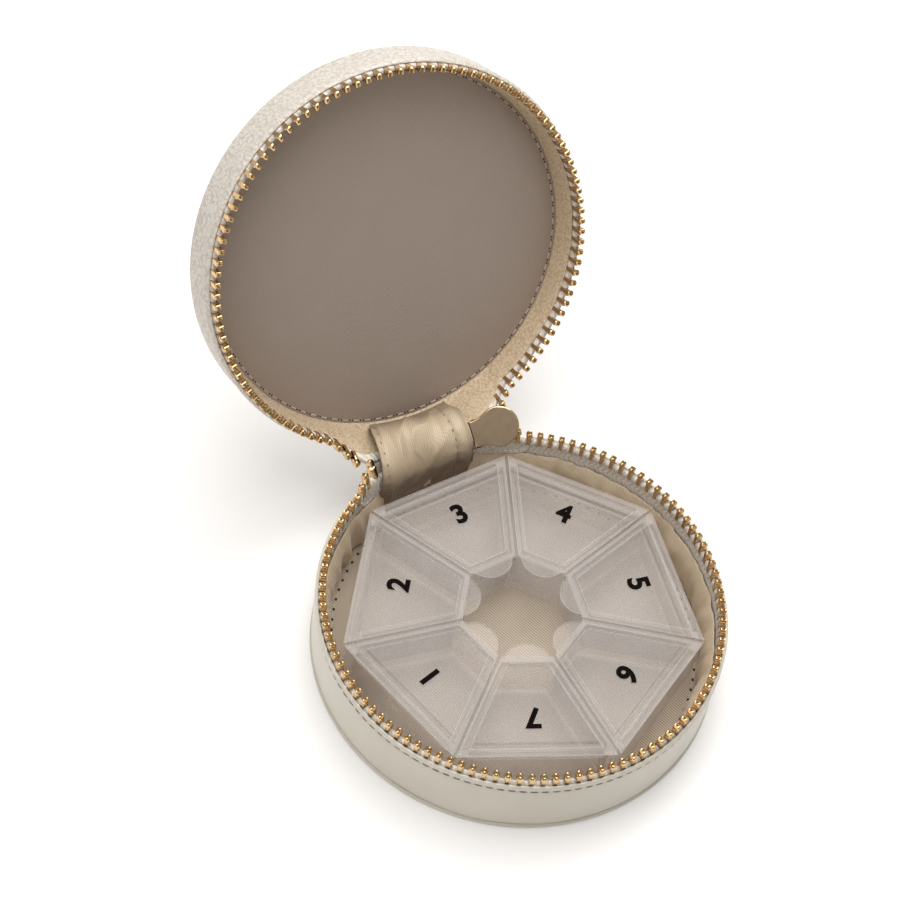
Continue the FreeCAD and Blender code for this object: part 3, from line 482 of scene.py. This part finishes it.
# Embossed calf with a thin finish: matt in its valleys and a little glossier on the pebbles, 0.95 mm apart.
pebbled_leather = finish_of("off-white pebbled leather", Coat_Weight=0.12, Coat_Roughness=0.35, Specular_IOR_Level=0.4)
pebbled(pebbled_leather, "#EDE5DA", "#E4DBCF", "#D3C9BC", size=0.95, depth=0.2)

LID_ANGLE = math.radians(116.8)
HINGE_LINE = Vector((0, 0.052, 0.0195))
OPEN = Matrix.Translation(HINGE_LINE) @ Matrix.Rotation(-LID_ANGLE, 4, "X") @ Matrix.Translation(-HINGE_LINE)


def swung(bm):
    """Takes a piece made on the closed lid to where the lid rests open."""
    bmesh.ops.transform(bm, matrix=OPEN, verts=bm.verts)
    return bm


top = turned([
    (0, 36.9), (30, 36.9), (46, 36.88), (49.6, 36.8), (50.5, 36.6), (51.1, 36.2), (51.42, 35.85), (51.3, 35.6),
    (50.4, 35.6), (30, 35.6), (0, 35.6),
])
lid_top = made_piece("lid_top_leather", swung(top), pebbled_leather, "case_lid", sharp=60)
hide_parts("lid_top_panel")

LID_HEM = 24.9
wall = turned([
    (50.43, 35.55), (51.3, 35.55), (51.46, 35.3), (51.5, 34.0), (51.5, 31.0), (51.48, 28.4), (51.46, 27.5),
    (51.56, 27.0), (51.7, 26.4), (51.74, 25.7), (51.66, 25.1), (51.45, 24.6), (51.15, 24.2), (50.9, 24.02),
    (50.72, 24.15), (50.6, 24.7), (50.38, 26.5), (50.43, 28.0), (50.43, 31.0),
])
waved(wall, amount=0.16, size=17, seed=40.0)
dipped_at_hinge(wall, LID_HEM, root=27.4, foot=34.0)
lid_wall = made_piece("lid_wall_leather", swung(wall), pebbled_leather, "case_lid", sharp=80)
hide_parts("lid_side_band")


# ------------------------------
# The lid's pad
# A padded disc of taupe satin with a fine diagonal twill, a little crowned, sewn to the lid with
# small pale stitches close to its edge.
# ------------------------------
# The same twill as the floor's in taupe, pressed flatter, so that its ridges catch less light.
taupe_satin = finish_of("taupe satin twill", Roughness=0.5, Sheen_Weight=0.3, Sheen_Roughness=0.4)
twilled(taupe_satin, "#A09083", "#AE9E91", pitch=0.64, turn=-88, depth=0.032, tilt=LID_ANGLE)

pad = turned([
    (0, 30.7), (10, 30.73), (20, 30.82), (30, 30.98), (38, 31.18), (43, 31.34), (45.6, 31.45), (46.6, 31.6),
    (47.2, 31.72), (47.7, 31.65), (48.2, 31.75), (48.55, 32.2), (48.66, 33.2), (48.6, 34.3), (48.3, 34.85),
    (40, 34.9), (0, 34.9),
])
lid_pad = made_piece("lid_taupe_satin_pad", swung(pad), taupe_satin, "case_lid", sharp=80)
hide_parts("lid_pad")

LID_STITCHES = 93
LID_SEAM_RADIUS, LID_SEAM_HEIGHT = 47.2, 31.66
HOLE_SHARE = 0.36


def on_lid_seam(k):
    """The middle, run and outward way of what lies k stitches round the pad's seam."""
    turn = 2 * math.pi * k / LID_STITCHES
    x, y = math.cos(turn), math.sin(turn)
    middle = OPEN @ Vector((LID_SEAM_RADIUS * MM * x, LID_SEAM_RADIUS * MM * y, LID_SEAM_HEIGHT * MM)) / MM
    return middle, OPEN.to_3x3() @ Vector((-y, x, 0)), OPEN.to_3x3() @ Vector((0, 0, -1))


places = [on_lid_seam(k) for k in range(LID_STITCHES)]
holes = [on_lid_seam(k + end) for k in range(LID_STITCHES) for end in (-HOLE_SHARE, HOLE_SHARE)]
stitches = sewn("lid_pad_stitches", places, pale_thread, "case_lid", length=2.1, width=0.34)
sewn("lid_pad_needle_holes", holes, needle_hole, "case_lid", length=0.5, width=0.42)


# ------------------------------
# The lid's lining and tape
# A narrow ring of thin cream leather, lightly pebbled, turned from the pad's edge up to the teeth;
# behind it the other half of the white tape.
# ------------------------------
# Skived lining leather: soft and nearly matt, with a shallow pebble 0.7 mm across.
lining_leather = finish_of("thin cream lining leather", Specular_IOR_Level=0.35)
pebbled(lining_leather, "#E2CFB3", "#D5C0A1", "#C4AC8B", size=0.7, depth=0.06)

LID_NOTCH = {"left": -23.7, "left_slope": 3.1, "right_slope": 1.9}
ring = turned([
    (47.95, 31.75), (48.05, 31.3), (48.2, 30.7), (48.42, 29.6), (48.62, 28.4), (48.85, 27.2), (49.1, 26.2),
    (49.35, 25.55), (49.6, 25.3), (49.71, 25.5), (49.55, 26.2), (49.3, 27.4), (49.05, 28.8), (48.95, 30.4),
    (48.9, 32.0),
], steps=360)
gathered(ring, foot=31.2, edge=25.4, depth=0.22, seed=5.2)
dipped_at_hinge(ring, 25.3, root=28.0, foot=31.5, **LID_NOTCH)
lid_lining = made_piece("lid_lining_ring", swung(ring), lining_leather, "case_lid", sharp=180)
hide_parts("lid_wall_lining")

tape = turned([(r, 2 * ZIP_HEIGHT - z) for r, z in TAPE_OUTLINE])
dipped_at_hinge(tape, 2 * ZIP_HEIGHT - TAPE_EDGE, root=25.0, foot=30.4, **LID_NOTCH)
lid_tape = made_piece("lid_zip_tape_woven", swung(tape), zip_tape, "case_lid", sharp=80)
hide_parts("lid_zipper_tape")


# ------------------------------
# The hinge
# The leather of the lid runs on down the back as a strip sewn over both walls, and inside a loose
# panel of cream satin, sewn down along two seams, rises from the floor over the gap and into the lid.
# ------------------------------
PANEL_LEFT, PANEL_RIGHT = -20.5, 12.5
PANEL_SEAM, SEAM_SHARE = 6.3, 0.82
LEFT_SEAM_SHARE = 0.05


def eased(t):
    """A smooth step from 0 to 1."""
    t = min(1.0, max(0.0, t))
    return t * t * (3 - 2 * t)


def on_sheet(u, w, radius, foot, head, fold_start, fold_end, bearing, relief, proud=0.0):
    """A spot on a sheet folded round the hinge, at these shares across and along, with its ways up and inwards."""
    turn = math.radians(bearing(u, w))
    z = foot + (head - foot) * w
    r = radius - relief(u, w) - proud
    fold = Matrix.Rotation(-LID_ANGLE * eased((z - fold_start) / (fold_end - fold_start)), 4, "X")
    spot = HINGE_LINE + fold @ (Vector((r * math.sin(turn), r * math.cos(turn), z)) * MM - HINGE_LINE)
    return spot, fold @ Vector((0, 0, 1)), fold @ Vector((-math.sin(turn), -math.cos(turn), 0))


def folded_sheet(across, rows, **shape):
    """A grid laid on such a sheet."""
    bm = bmesh.new()
    bmesh.ops.create_grid(bm, x_segments=across, y_segments=rows, size=0.5)
    for v in bm.verts:
        v.co = on_sheet(v.co.x + 0.5, v.co.y + 0.5, **shape)[0]
    bmesh.ops.recalc_face_normals(bm, faces=bm.faces)
    return bm


def panel_bearing(u, w):
    """The panel's sides draw in towards its top, under the lid's pad; its right seam runs straight up."""
    left = PANEL_LEFT + 6.5 * max(0.0, (w - 0.62) / 0.38) ** 1.3
    right = PANEL_RIGHT - 0.8 * eased((w - 0.35) / 0.25)
    if u < SEAM_SHARE:
        return left + (PANEL_SEAM - left) * u / SEAM_SHARE
    return PANEL_SEAM + (right - PANEL_SEAM) * (u - SEAM_SHARE) / (1 - SEAM_SHARE)


def panel_folds(u, w):
    """Loose satin: a soft fold over the bend, slanting creases, puckers along its seams, and edges tucked under."""
    left_edge, right_edge = math.exp(-(u / 0.045) ** 2), math.exp(-((1 - u) / 0.05) ** 2)
    turned_out = (2.0 - 1.2 * eased((w - 0.5) / 0.2)) * left_edge + 1.6 * right_edge
    swell = 0.9 * math.exp(-((w - 0.8) / 0.08) ** 2 - ((u - 0.42) / 0.25) ** 2)
    valley = 1.9 * math.exp(-((w - 0.61 + 0.2 * (u - 0.4)) / 0.1) ** 2 - ((u - 0.42) / 0.22) ** 2)
    slant = Vector((u * 3.0 + w * 2.2, w * 3.6 - u * 2.4, 4.0))
    folds = 1.1 * noise.noise(slant) - 0.9 * abs(noise.noise(slant * 1.5 + Vector((3, 1, 0)))) ** 0.8
    near_seam = math.exp(-abs(u - SEAM_SHARE) * 13) + math.exp(-u * 11)
    puckers = 0.4 * noise.noise(Vector((u * 5, w * 24, 2.0))) * near_seam
    fine = 0.06 * noise.noise(Vector((u * 42, w * 5, 7.0)))
    groove = math.exp(-((u - SEAM_SHARE) / 0.02) ** 2) + math.exp(-((u - LEFT_SEAM_SHARE) / 0.02) ** 2)
    held = min(1, 4 * u * (1 - u) + 0.1)
    loose = 0.6 + (folds + swell - valley) * held + puckers + fine - 0.35 * groove - turned_out
    tucked = eased((w - 0.84) / 0.13)
    return loose * (1 - tucked) - 0.9 * tucked


# The lining's satin, painted a little darker than the lining for the shade the panel sits in, and with painted shade
# browner down in the fold.
panel_satin = finish_of("cream satin over the hinge", Roughness=0.4, Sheen_Weight=0.3, Sheen_Roughness=0.35,
                        Specular_IOR_Level=0.55)
twilled(panel_satin, "#C3AD8F", "#E0CCAD", pitch=0.5, turn=28, depth=0.02, tilt=0.9, fold_shade="#846F5A")

PANEL_SHAPE = {"radius": 47.5, "foot": 2.7, "head": 30.9, "fold_start": 15.0, "fold_end": 29.0,
               "bearing": panel_bearing, "relief": panel_folds}
bm = folded_sheet(150, 110, **PANEL_SHAPE)
satin_panel = made_piece("hinge_satin_panel_sewn", bm, panel_satin, sharp=180)
cloth = satin_panel.modifiers.new("cloth", "SOLIDIFY")
cloth.thickness, cloth.offset = 0.35 * MM, 0.0
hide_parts("hinge_satin_panel")
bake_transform(satin_panel)

SEAM_STITCHES, SEAM_START, STITCH_SHARE = 15, 0.3, 0.042
places = []
for share in (LEFT_SEAM_SHARE, SEAM_SHARE):
    for k in range(SEAM_STITCHES):
        spot, along, inward = on_sheet(share, SEAM_START + STITCH_SHARE * k, **PANEL_SHAPE, proud=0.2)
        places.append((spot / MM, along, inward))
stitches = sewn("hinge_panel_stitches", places, wall_thread, None, length=0.85, width=0.36)
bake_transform(stitches)

# The outer strip, its long edges turned under and so a little thicker.
bm = folded_sheet(60, 70, radius=51.9, foot=11.6, head=32.4, fold_start=16.0, fold_end=28.0,
                  bearing=lambda u, w: -20.0 + 28.0 * u,
                  relief=lambda u, w: -0.12 * math.exp(-(min(u, 1 - u) / 0.05) ** 2))
strip = made_piece("hinge_leather_strip", bm, pebbled_leather, sharp=180)
leather = strip.modifiers.new("leather", "SOLIDIFY")
leather.thickness, leather.offset = 0.7 * MM, 0.0
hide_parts("hinge_outer_strip")
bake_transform(strip)


# ------------------------------
# The zip's ends
# At the hinge both halves of the tape leave their walls and run together, into the stop on the
# left and into the slider on the right, and carry the last few teeth with them.
# ------------------------------
RIM_RADIUS = 50.0
TOOTH_PITCH, TOOTH_SEAT = 2.8495, 0.55
TOOTH_REACH, HALF_TOOTH = 3.4, 1.2
TUCK = 7.0
CLOSED = Matrix.Identity(4)
FOLD_LINE = Vector((0, 0.0484, 0.0198))
HALF_OPEN = Matrix.Translation(FOLD_LINE) @ Matrix.Rotation(-LID_ANGLE / 2, 4, "X") @ Matrix.Translation(-FOLD_LINE)


def on_tape(home, way, start, end, turn, out, away):
    """The spot out mm outside the rim and away mm from the zip's middle, on a tape on its way from wall to fold."""
    a, r = math.radians(turn), RIM_RADIUS + out
    closed = Vector((r * math.sin(a), r * math.cos(a), ZIP_HEIGHT + way * away)) * MM
    share = eased((turn - start) / (end - start)) * (1 - eased((away - 2.0) / 5.5))
    return (home @ closed).lerp(HALF_OPEN @ closed, share)


def ribbon(bm, section, home, way, start, end, steps=48):
    """Sweeps a section of (out, away) points from the rim at start to the fold at end, and on behind the satin."""
    first = [bm.verts.new(on_tape(home, way, start, end, start, out, away)) for out, away in section]
    edges = [bm.edges.new(pair) for pair in zip(first, first[1:] + first[:1])]
    bmesh.ops.contextual_create(bm, geom=edges)
    row = first
    last = end + math.copysign(TUCK, end - start)
    for k in range(1, steps + 1):
        turn = start + (last - start) * k / steps
        grown = bmesh.ops.extrude_edge_only(bm, edges=edges)["geom"]
        edges = [g for g in grown if isinstance(g, bmesh.types.BMEdge)]
        joined = {e.other_vert(v): v for v in row for e in v.link_edges if e.other_vert(v) in grown}
        row = [next(new for new, old in joined.items() if old is v) for v in row]
        for v, (out, away) in zip(row, section):
            v.co = on_tape(home, way, start, end, turn, out, away)
    bmesh.ops.contextual_create(bm, geom=edges)


def tooth_seat(home, way, start, end, turn):
    """The seat of a tooth on the tape: along the row, outwards, and towards the zip's middle."""
    spot = on_tape(home, way, start, end, turn, 0, TOOTH_SEAT)
    out = (on_tape(home, way, start, end, turn, 1, TOOTH_SEAT) - spot).normalized()
    up = (on_tape(home, way, start, end, turn, 0, 0.0) - on_tape(home, way, start, end, turn, 0, 2.0)).normalized()
    along = out.cross(up).normalized()
    seat = Matrix((along, out, along.cross(out))).transposed().to_4x4()
    seat.translation = spot
    return seat


# One tooth, copied out of the base's own row, where its wall ends, and seated at its middle.
BASE_RIGHT = 28.9
row_of_teeth = bmesh.new()
row_of_teeth.from_mesh(bpy.data.objects["base_zipper_teeth"].data)
bmesh.ops.remove_doubles(row_of_teeth, verts=row_of_teeth.verts, dist=1e-6)
seat = tooth_seat(CLOSED, -1, BASE_RIGHT, 0, BASE_RIGHT)
others = [v for v in row_of_teeth.verts
          if (v.co - seat.translation).length > TOOTH_REACH * MM
          or abs((seat.inverted() @ v.co).x) > HALF_TOOTH * MM]
bmesh.ops.delete(row_of_teeth, geom=others, context="VERTS")
bmesh.ops.transform(row_of_teeth, matrix=seat.inverted(), verts=row_of_teeth.verts)
one_tooth = bpy.data.meshes.new("one_tooth")
row_of_teeth.to_mesh(one_tooth)
row_of_teeth.free()

TAPE_SECTION = [(-0.28, 8.6), (0.28, 8.6), (0.28, 5.5), (0.3, 3.4), (0.5, 3.0), (0.68, 2.5), (0.66, 2.0), (0.4, 1.58),
                (0.0, 1.45), (-0.4, 1.58), (-0.66, 2.0), (-0.68, 2.5), (-0.5, 3.0), (-0.3, 3.4), (-0.28, 5.5)]
RING_SECTION = [(-1.1, 8.6), (-0.9, 5.8), (-0.5, 3.6), (-0.36, 3.2), (-0.3, 3.5), (-0.45, 5.8), (-0.6, 8.6)]
# Each end's name, half and side of the zip, the bearings where it leaves its wall, reaches the fold and has
# its last tooth, the bodies it joins, and where it starts and ends to turn from one to the other.
ENDS = (
    ("base_left", CLOSED, -1, -30.75, -21.2, -23.2,
     ("case_base", "zip_ends"), (0, 0.043, 0.02145), (0, 0.04848, 0.02413)),
    ("base_right", CLOSED, -1, BASE_RIGHT, 15.0, 24.5,
     ("case_base", "zip_ends"), (0, 0.0438, 0.02145), (0, 0.04853, 0.02193)),
    ("lid_left", OPEN, 1, -32.38, -21.2, -24.6,
     ("case_base", "case_lid"), (0, 0.0393, 0.02), (0, 0.0591, 0.02)),
    ("lid_right", OPEN, 1, 30.53, 15.0, 24.5,
     ("case_base", "case_lid"), (0, 0.03785, 0.02), (0, 0.05875, 0.02)),
)
for name, home, way, start, end, mouth, bodies, first, last in ENDS:
    pieces = []
    bm = bmesh.new()
    ribbon(bm, TAPE_SECTION, home, way, start, end)
    bmesh.ops.recalc_face_normals(bm, faces=bm.faces)
    pieces.append(made_piece(f"zip_tape_end_{name}", bm, zip_tape, sharp=80))
    if home is OPEN:
        bm = bmesh.new()
        ribbon(bm, RING_SECTION, home, way, start, end)
        bmesh.ops.recalc_face_normals(bm, faces=bm.faces)
        pieces.append(made_piece(f"lining_ring_end_{name}", bm, lining_leather, sharp=80))
    bm = bmesh.new()
    travelled, turn, before = 0.0, start, on_tape(home, way, start, end, start, 0, TOOTH_SEAT)
    while abs(turn - start) < abs(mouth - start):
        turn += math.copysign(0.1, end - start)
        now = on_tape(home, way, start, end, turn, 0, TOOTH_SEAT)
        travelled += (now - before).length / MM
        before = now
        if travelled >= TOOTH_PITCH:
            travelled -= TOOTH_PITCH
            placed = len(bm.verts)
            bm.from_mesh(one_tooth)
            bmesh.ops.transform(bm, matrix=tooth_seat(home, way, start, end, turn), verts=bm.verts[placed:])
    pieces.append(made_piece(f"zip_teeth_end_{name}", bm, tooth_gold, sharp=35))
    for piece in pieces:
        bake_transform(piece)


# ------------------------------
# The tray
# One moulding of frosted polypropylene: seven wedge-shaped cups round an open middle. The thin
# walls look milky, and more so wherever the plastic is seen edge on.
# ------------------------------
def frosted(name, colour, cover, rough, cloudy, grainy):
    """Translucent plastic that lets light through evenly, with faint flow marks and a soft moulded gloss."""
    made = finish_of(name, Roughness=rough, IOR=1.49, Specular_IOR_Level=0.5)
    spot = node(made, "ShaderNodeTexCoord", {}).outputs["Object"]
    flow = node(made, "ShaderNodeTexNoise", {"Vector": spot, "Scale": 130, "Detail": 3}).outputs["Fac"]
    frost = node(made, "ShaderNodeTexNoise", {"Vector": spot, "Scale": 2200, "Detail": 2}).outputs["Fac"]
    facing = node(made, "ShaderNodeLayerWeight", {"Blend": 0.35}).outputs["Facing"]
    milk = node(made, "ShaderNodeMath", {0: facing, 1: cloudy, 2: cover}, operation="MULTIPLY_ADD").outputs[0]
    seen = node(made, "ShaderNodeMath", {0: flow, 1: 0.06, 2: milk}, operation="MULTIPLY_ADD", use_clamp=True)
    relief = node(made, "ShaderNodeBump", {"Height": frost, "Strength": grainy, "Distance": 0.00003}).outputs[0]
    node(made, "shader", {"Base Color": colour, "Alpha": seen.outputs[0], "Normal": relief})
    return made


# Polypropylene from a blasted mould: pale and cloudy, clearer where it is seen straight on.
frosted_plastic = frosted("frosted polypropylene", "#E1D8D0", cover=0.16, rough=0.3, cloudy=0.26, grainy=0.1)

cups = eased_copy("tray_cups", "tray_body", frosted_plastic, "pill_tray", width=0.18)


# ------------------------------
# The compartment lids
# Seven snap lids of the same plastic, each a milky frame round a thin clear window, with two
# hinge pins at its outer edge and a round thumb tab over the middle of the tray.
# ------------------------------
# Heights are over the table, LEVEL and UPRIGHT tell how far up the normal of such a face points, and SIDES
# holds the bearings of the seven outer sides.
WINDOW_TOP, WINDOW_AREA = 17.95, 20.0
RIM_BOTTOM, EDGE_BOTTOM, FRAME_TOP = 16.6, 17.4, 18.2
FRAME_INNER_EDGE = 14.05
LEVEL, UPRIGHT = 0.95, 0.2
SIDES = (93.61, 145.04, 196.47, 247.9, 299.33, 350.76, 42.19)

# Polished in the mould, the windows and tabs are nearly clear; the rounded edges are milkier and paler, partly as a
# painted highlight along them.
clear_plastic = frosted("clear polypropylene window", "#EADFD6", cover=0.08, rough=0.2, cloudy=0.22, grainy=0.05)
milky_highlight_plastic = frosted("milky polypropylene edge highlight", "#E8E2DC", cover=0.5, rough=0.2, cloudy=0.24, grainy=0.06)

for k in range(1, 8):
    side = math.radians(SIDES[k - 1])
    outward = Vector((math.cos(side), math.sin(side), 0))
    lid = eased_copy(f"compartment_lid_moulding_{k}", f"compartment_lid_{k}", frosted_plastic, f"pill_lid_{k}",
                     width=0.2, cut=(outward * FRAME_INNER_EDGE * MM, outward))
    lid.data.materials.append(clear_plastic)
    lid.data.materials.append(milky_highlight_plastic)
    for face in lid.data.polygons:
        z = face.center.z / MM
        window = face.area > WINDOW_AREA * MM * MM and z > RIM_BOTTOM and abs(z - FRAME_TOP) > 0.1
        tab = face.center.dot(outward) < FRAME_INNER_EDGE * MM
        if abs(face.normal.z) > LEVEL and (window or tab):
            face.material_index = 1
        # Rounded edge faces: milkier plastic, painted paler as a highlight along the edges.
        elif UPRIGHT < face.normal.z < LEVEL and z > EDGE_BOTTOM:
            face.material_index = 2


# ------------------------------
# The numerals
# A black number printed on each window, one to seven in the days' order from Sunday, its head
# towards the rim.
# ------------------------------
# Pad-printing ink: black, thin and nearly matt, a shade uneven.
print_ink = finish_of("black printing ink", Roughness=0.8, Specular_IOR_Level=0.05)
flecked(print_ink, "#0A0706", "#17110E", scale=2800, detail=3)

NUMBER_RADIUS, NUMBER_HEIGHT = 31.0, 7.6
INK_SPREAD, INK_THICKNESS, INK_LIFT = 0.28, 0.02, 0.03
for k, number in enumerate("3217654", start=1):
    letters = bpy.data.curves.new(f"number_{number}", "FONT")
    letters.body, letters.size = number, NUMBER_HEIGHT * MM
    letters.align_x, letters.align_y = "CENTER", "CENTER"
    letters.offset, letters.extrude = INK_SPREAD * MM, INK_THICKNESS * MM
    typed = bpy.data.objects.new(f"number_{number}_curve", letters)
    bpy.context.scene.collection.objects.link(typed)
    bpy.context.view_layer.update()
    mesh = bpy.data.meshes.new_from_object(typed.evaluated_get(bpy.context.evaluated_depsgraph_get()))
    bpy.data.objects.remove(typed)
    bm = bmesh.new()
    bm.from_mesh(mesh)
    side = math.radians(SIDES[k - 1])
    place = Matrix.Rotation(side - math.pi / 2, 4, "Z")
    x, y = NUMBER_RADIUS * math.cos(side), NUMBER_RADIUS * math.sin(side)
    place.translation = Vector((x, y, WINDOW_TOP + INK_LIFT)) * MM
    bmesh.ops.transform(bm, matrix=place, verts=bm.verts)
    made_piece(f"printed_number_{number}", bm, print_ink, f"pill_lid_{k}", sharp=40)


# ------------------------------
# The table, the light and the camera
# A white table under broad soft lamps; the camera looks down on the case from a little to its left,
# as in the photograph.
# ------------------------------
TABLE_DROP = 0.1
bm = bmesh.new()
bmesh.ops.create_grid(bm, x_segments=2, y_segments=2, size=3.0)
bmesh.ops.translate(bm, vec=(0, 0, -TABLE_DROP * MM), verts=bm.verts)

# Matt white laminate, lifted a little towards white for what looks at it, but not as a light on the case.
FLOOR_LIFT = 0.2
white_table = finish_of("white table", Roughness=0.9, Specular_IOR_Level=0.1)
tree = white_table.node_tree
node(white_table, "shader", {"Base Color": "#F4F2F0"})
rays = node(white_table, "ShaderNodeLightPath", {}).outputs
seen = node(white_table, "ShaderNodeMath", {0: rays["Is Camera Ray"], 1: rays["Is Glossy Ray"]},
            operation="ADD").outputs[0]
seen = node(white_table, "ShaderNodeMath", {0: seen, 1: rays["Is Transmission Ray"]},
            operation="ADD", use_clamp=True).outputs[0]
lift = node(white_table, "ShaderNodeMath", {0: seen, 1: FLOOR_LIFT}, operation="MULTIPLY").outputs[0]
glow = node(white_table, "ShaderNodeEmission", {"Color": (1, 1, 1, 1), "Strength": lift}).outputs[0]
both = node(white_table, "ShaderNodeAddShader", {0: tree.nodes["Principled BSDF"].outputs[0], 1: glow}).outputs[0]
tree.links.new(both, tree.nodes["Material Output"].inputs["Surface"])
table = made_piece("table_top", bm, white_table)

# A faintly warm room, brighter above and behind than below and in front.
BRIGHT_SIDE = (0.25, 0.6, 0.76)
world = bpy.data.worlds.new("soft studio")
world.use_nodes = True
bpy.context.scene.world = world
way = node(world, "ShaderNodeTexCoord", {}).outputs["Generated"]
lean = node(world, "ShaderNodeVectorMath", {0: way, 1: BRIGHT_SIDE}, operation="DOT_PRODUCT").outputs["Value"]
level = node(world, "ShaderNodeMapRange", {"Value": lean, "From Min": -1.0, "To Min": 0.12, "To Max": 0.32}).outputs[0]
background = world.node_tree.nodes["Background"]
background.inputs["Color"].default_value = (1.0, 0.985, 0.965, 1)
world.node_tree.links.new(level, background.inputs["Strength"])

CASE_MIDDLE = Vector((0, 0.02, 0.02))


def softbox(name, place, size, power):
    """A square area lamp at that place, aimed at the case."""
    light = bpy.data.lights.new(name, "AREA")
    light.size, light.energy = size, power
    lamp = bpy.data.objects.new(name, light)
    bpy.context.scene.collection.objects.link(lamp)
    lamp.location = place
    lamp.rotation_euler = (CASE_MIDDLE - Vector(place)).to_track_quat("-Z", "Y").to_euler()


softbox("key", (0.4, 0.42, 0.85), size=0.55, power=4.02)
softbox("left", (-0.85, -0.1, 0.55), size=0.7, power=1.56)
softbox("front", (0.5, -0.8, 0.6), size=0.7, power=0.7)
softbox("top", (-0.05, 0.1, 1.0), size=0.7, power=5.32)

# The camera stands this many mm back, up and right from the middle of the case's foot, as the frame sees it.
CAMERA_BACK, CAMERA_UP, CAMERA_RIGHT = 619.41, 46.56, -12.97
photo = bpy.data.cameras.new("photo")
photo.lens, photo.sensor_width = 94.54, 36.0
photo.clip_start, photo.clip_end = 0.01, 20.0
camera = bpy.data.objects.new("photo", photo)
bpy.context.scene.collection.objects.link(camera)
elevation, azimuth, roll = math.radians(54.35), math.radians(-35.3), math.radians(10.82)
flat = math.cos(elevation)
back = Vector((math.sin(azimuth) * flat, -math.cos(azimuth) * flat, math.sin(elevation)))
level_right = (-back).cross(Vector((0, 0, 1))).normalized()
level_up = level_right.cross(-back)
right = math.cos(roll) * level_right + math.sin(roll) * level_up
up = math.cos(roll) * level_up - math.sin(roll) * level_right
turned_frame = Matrix((right, up, back)).transposed().to_4x4()
stand = CAMERA_UP * up + CAMERA_BACK * back + CAMERA_RIGHT * right
camera.matrix_world = Matrix.Translation(stand * MM) @ turned_frame
bpy.context.scene.camera = camera
bpy.context.scene.view_settings.view_transform = "Standard"
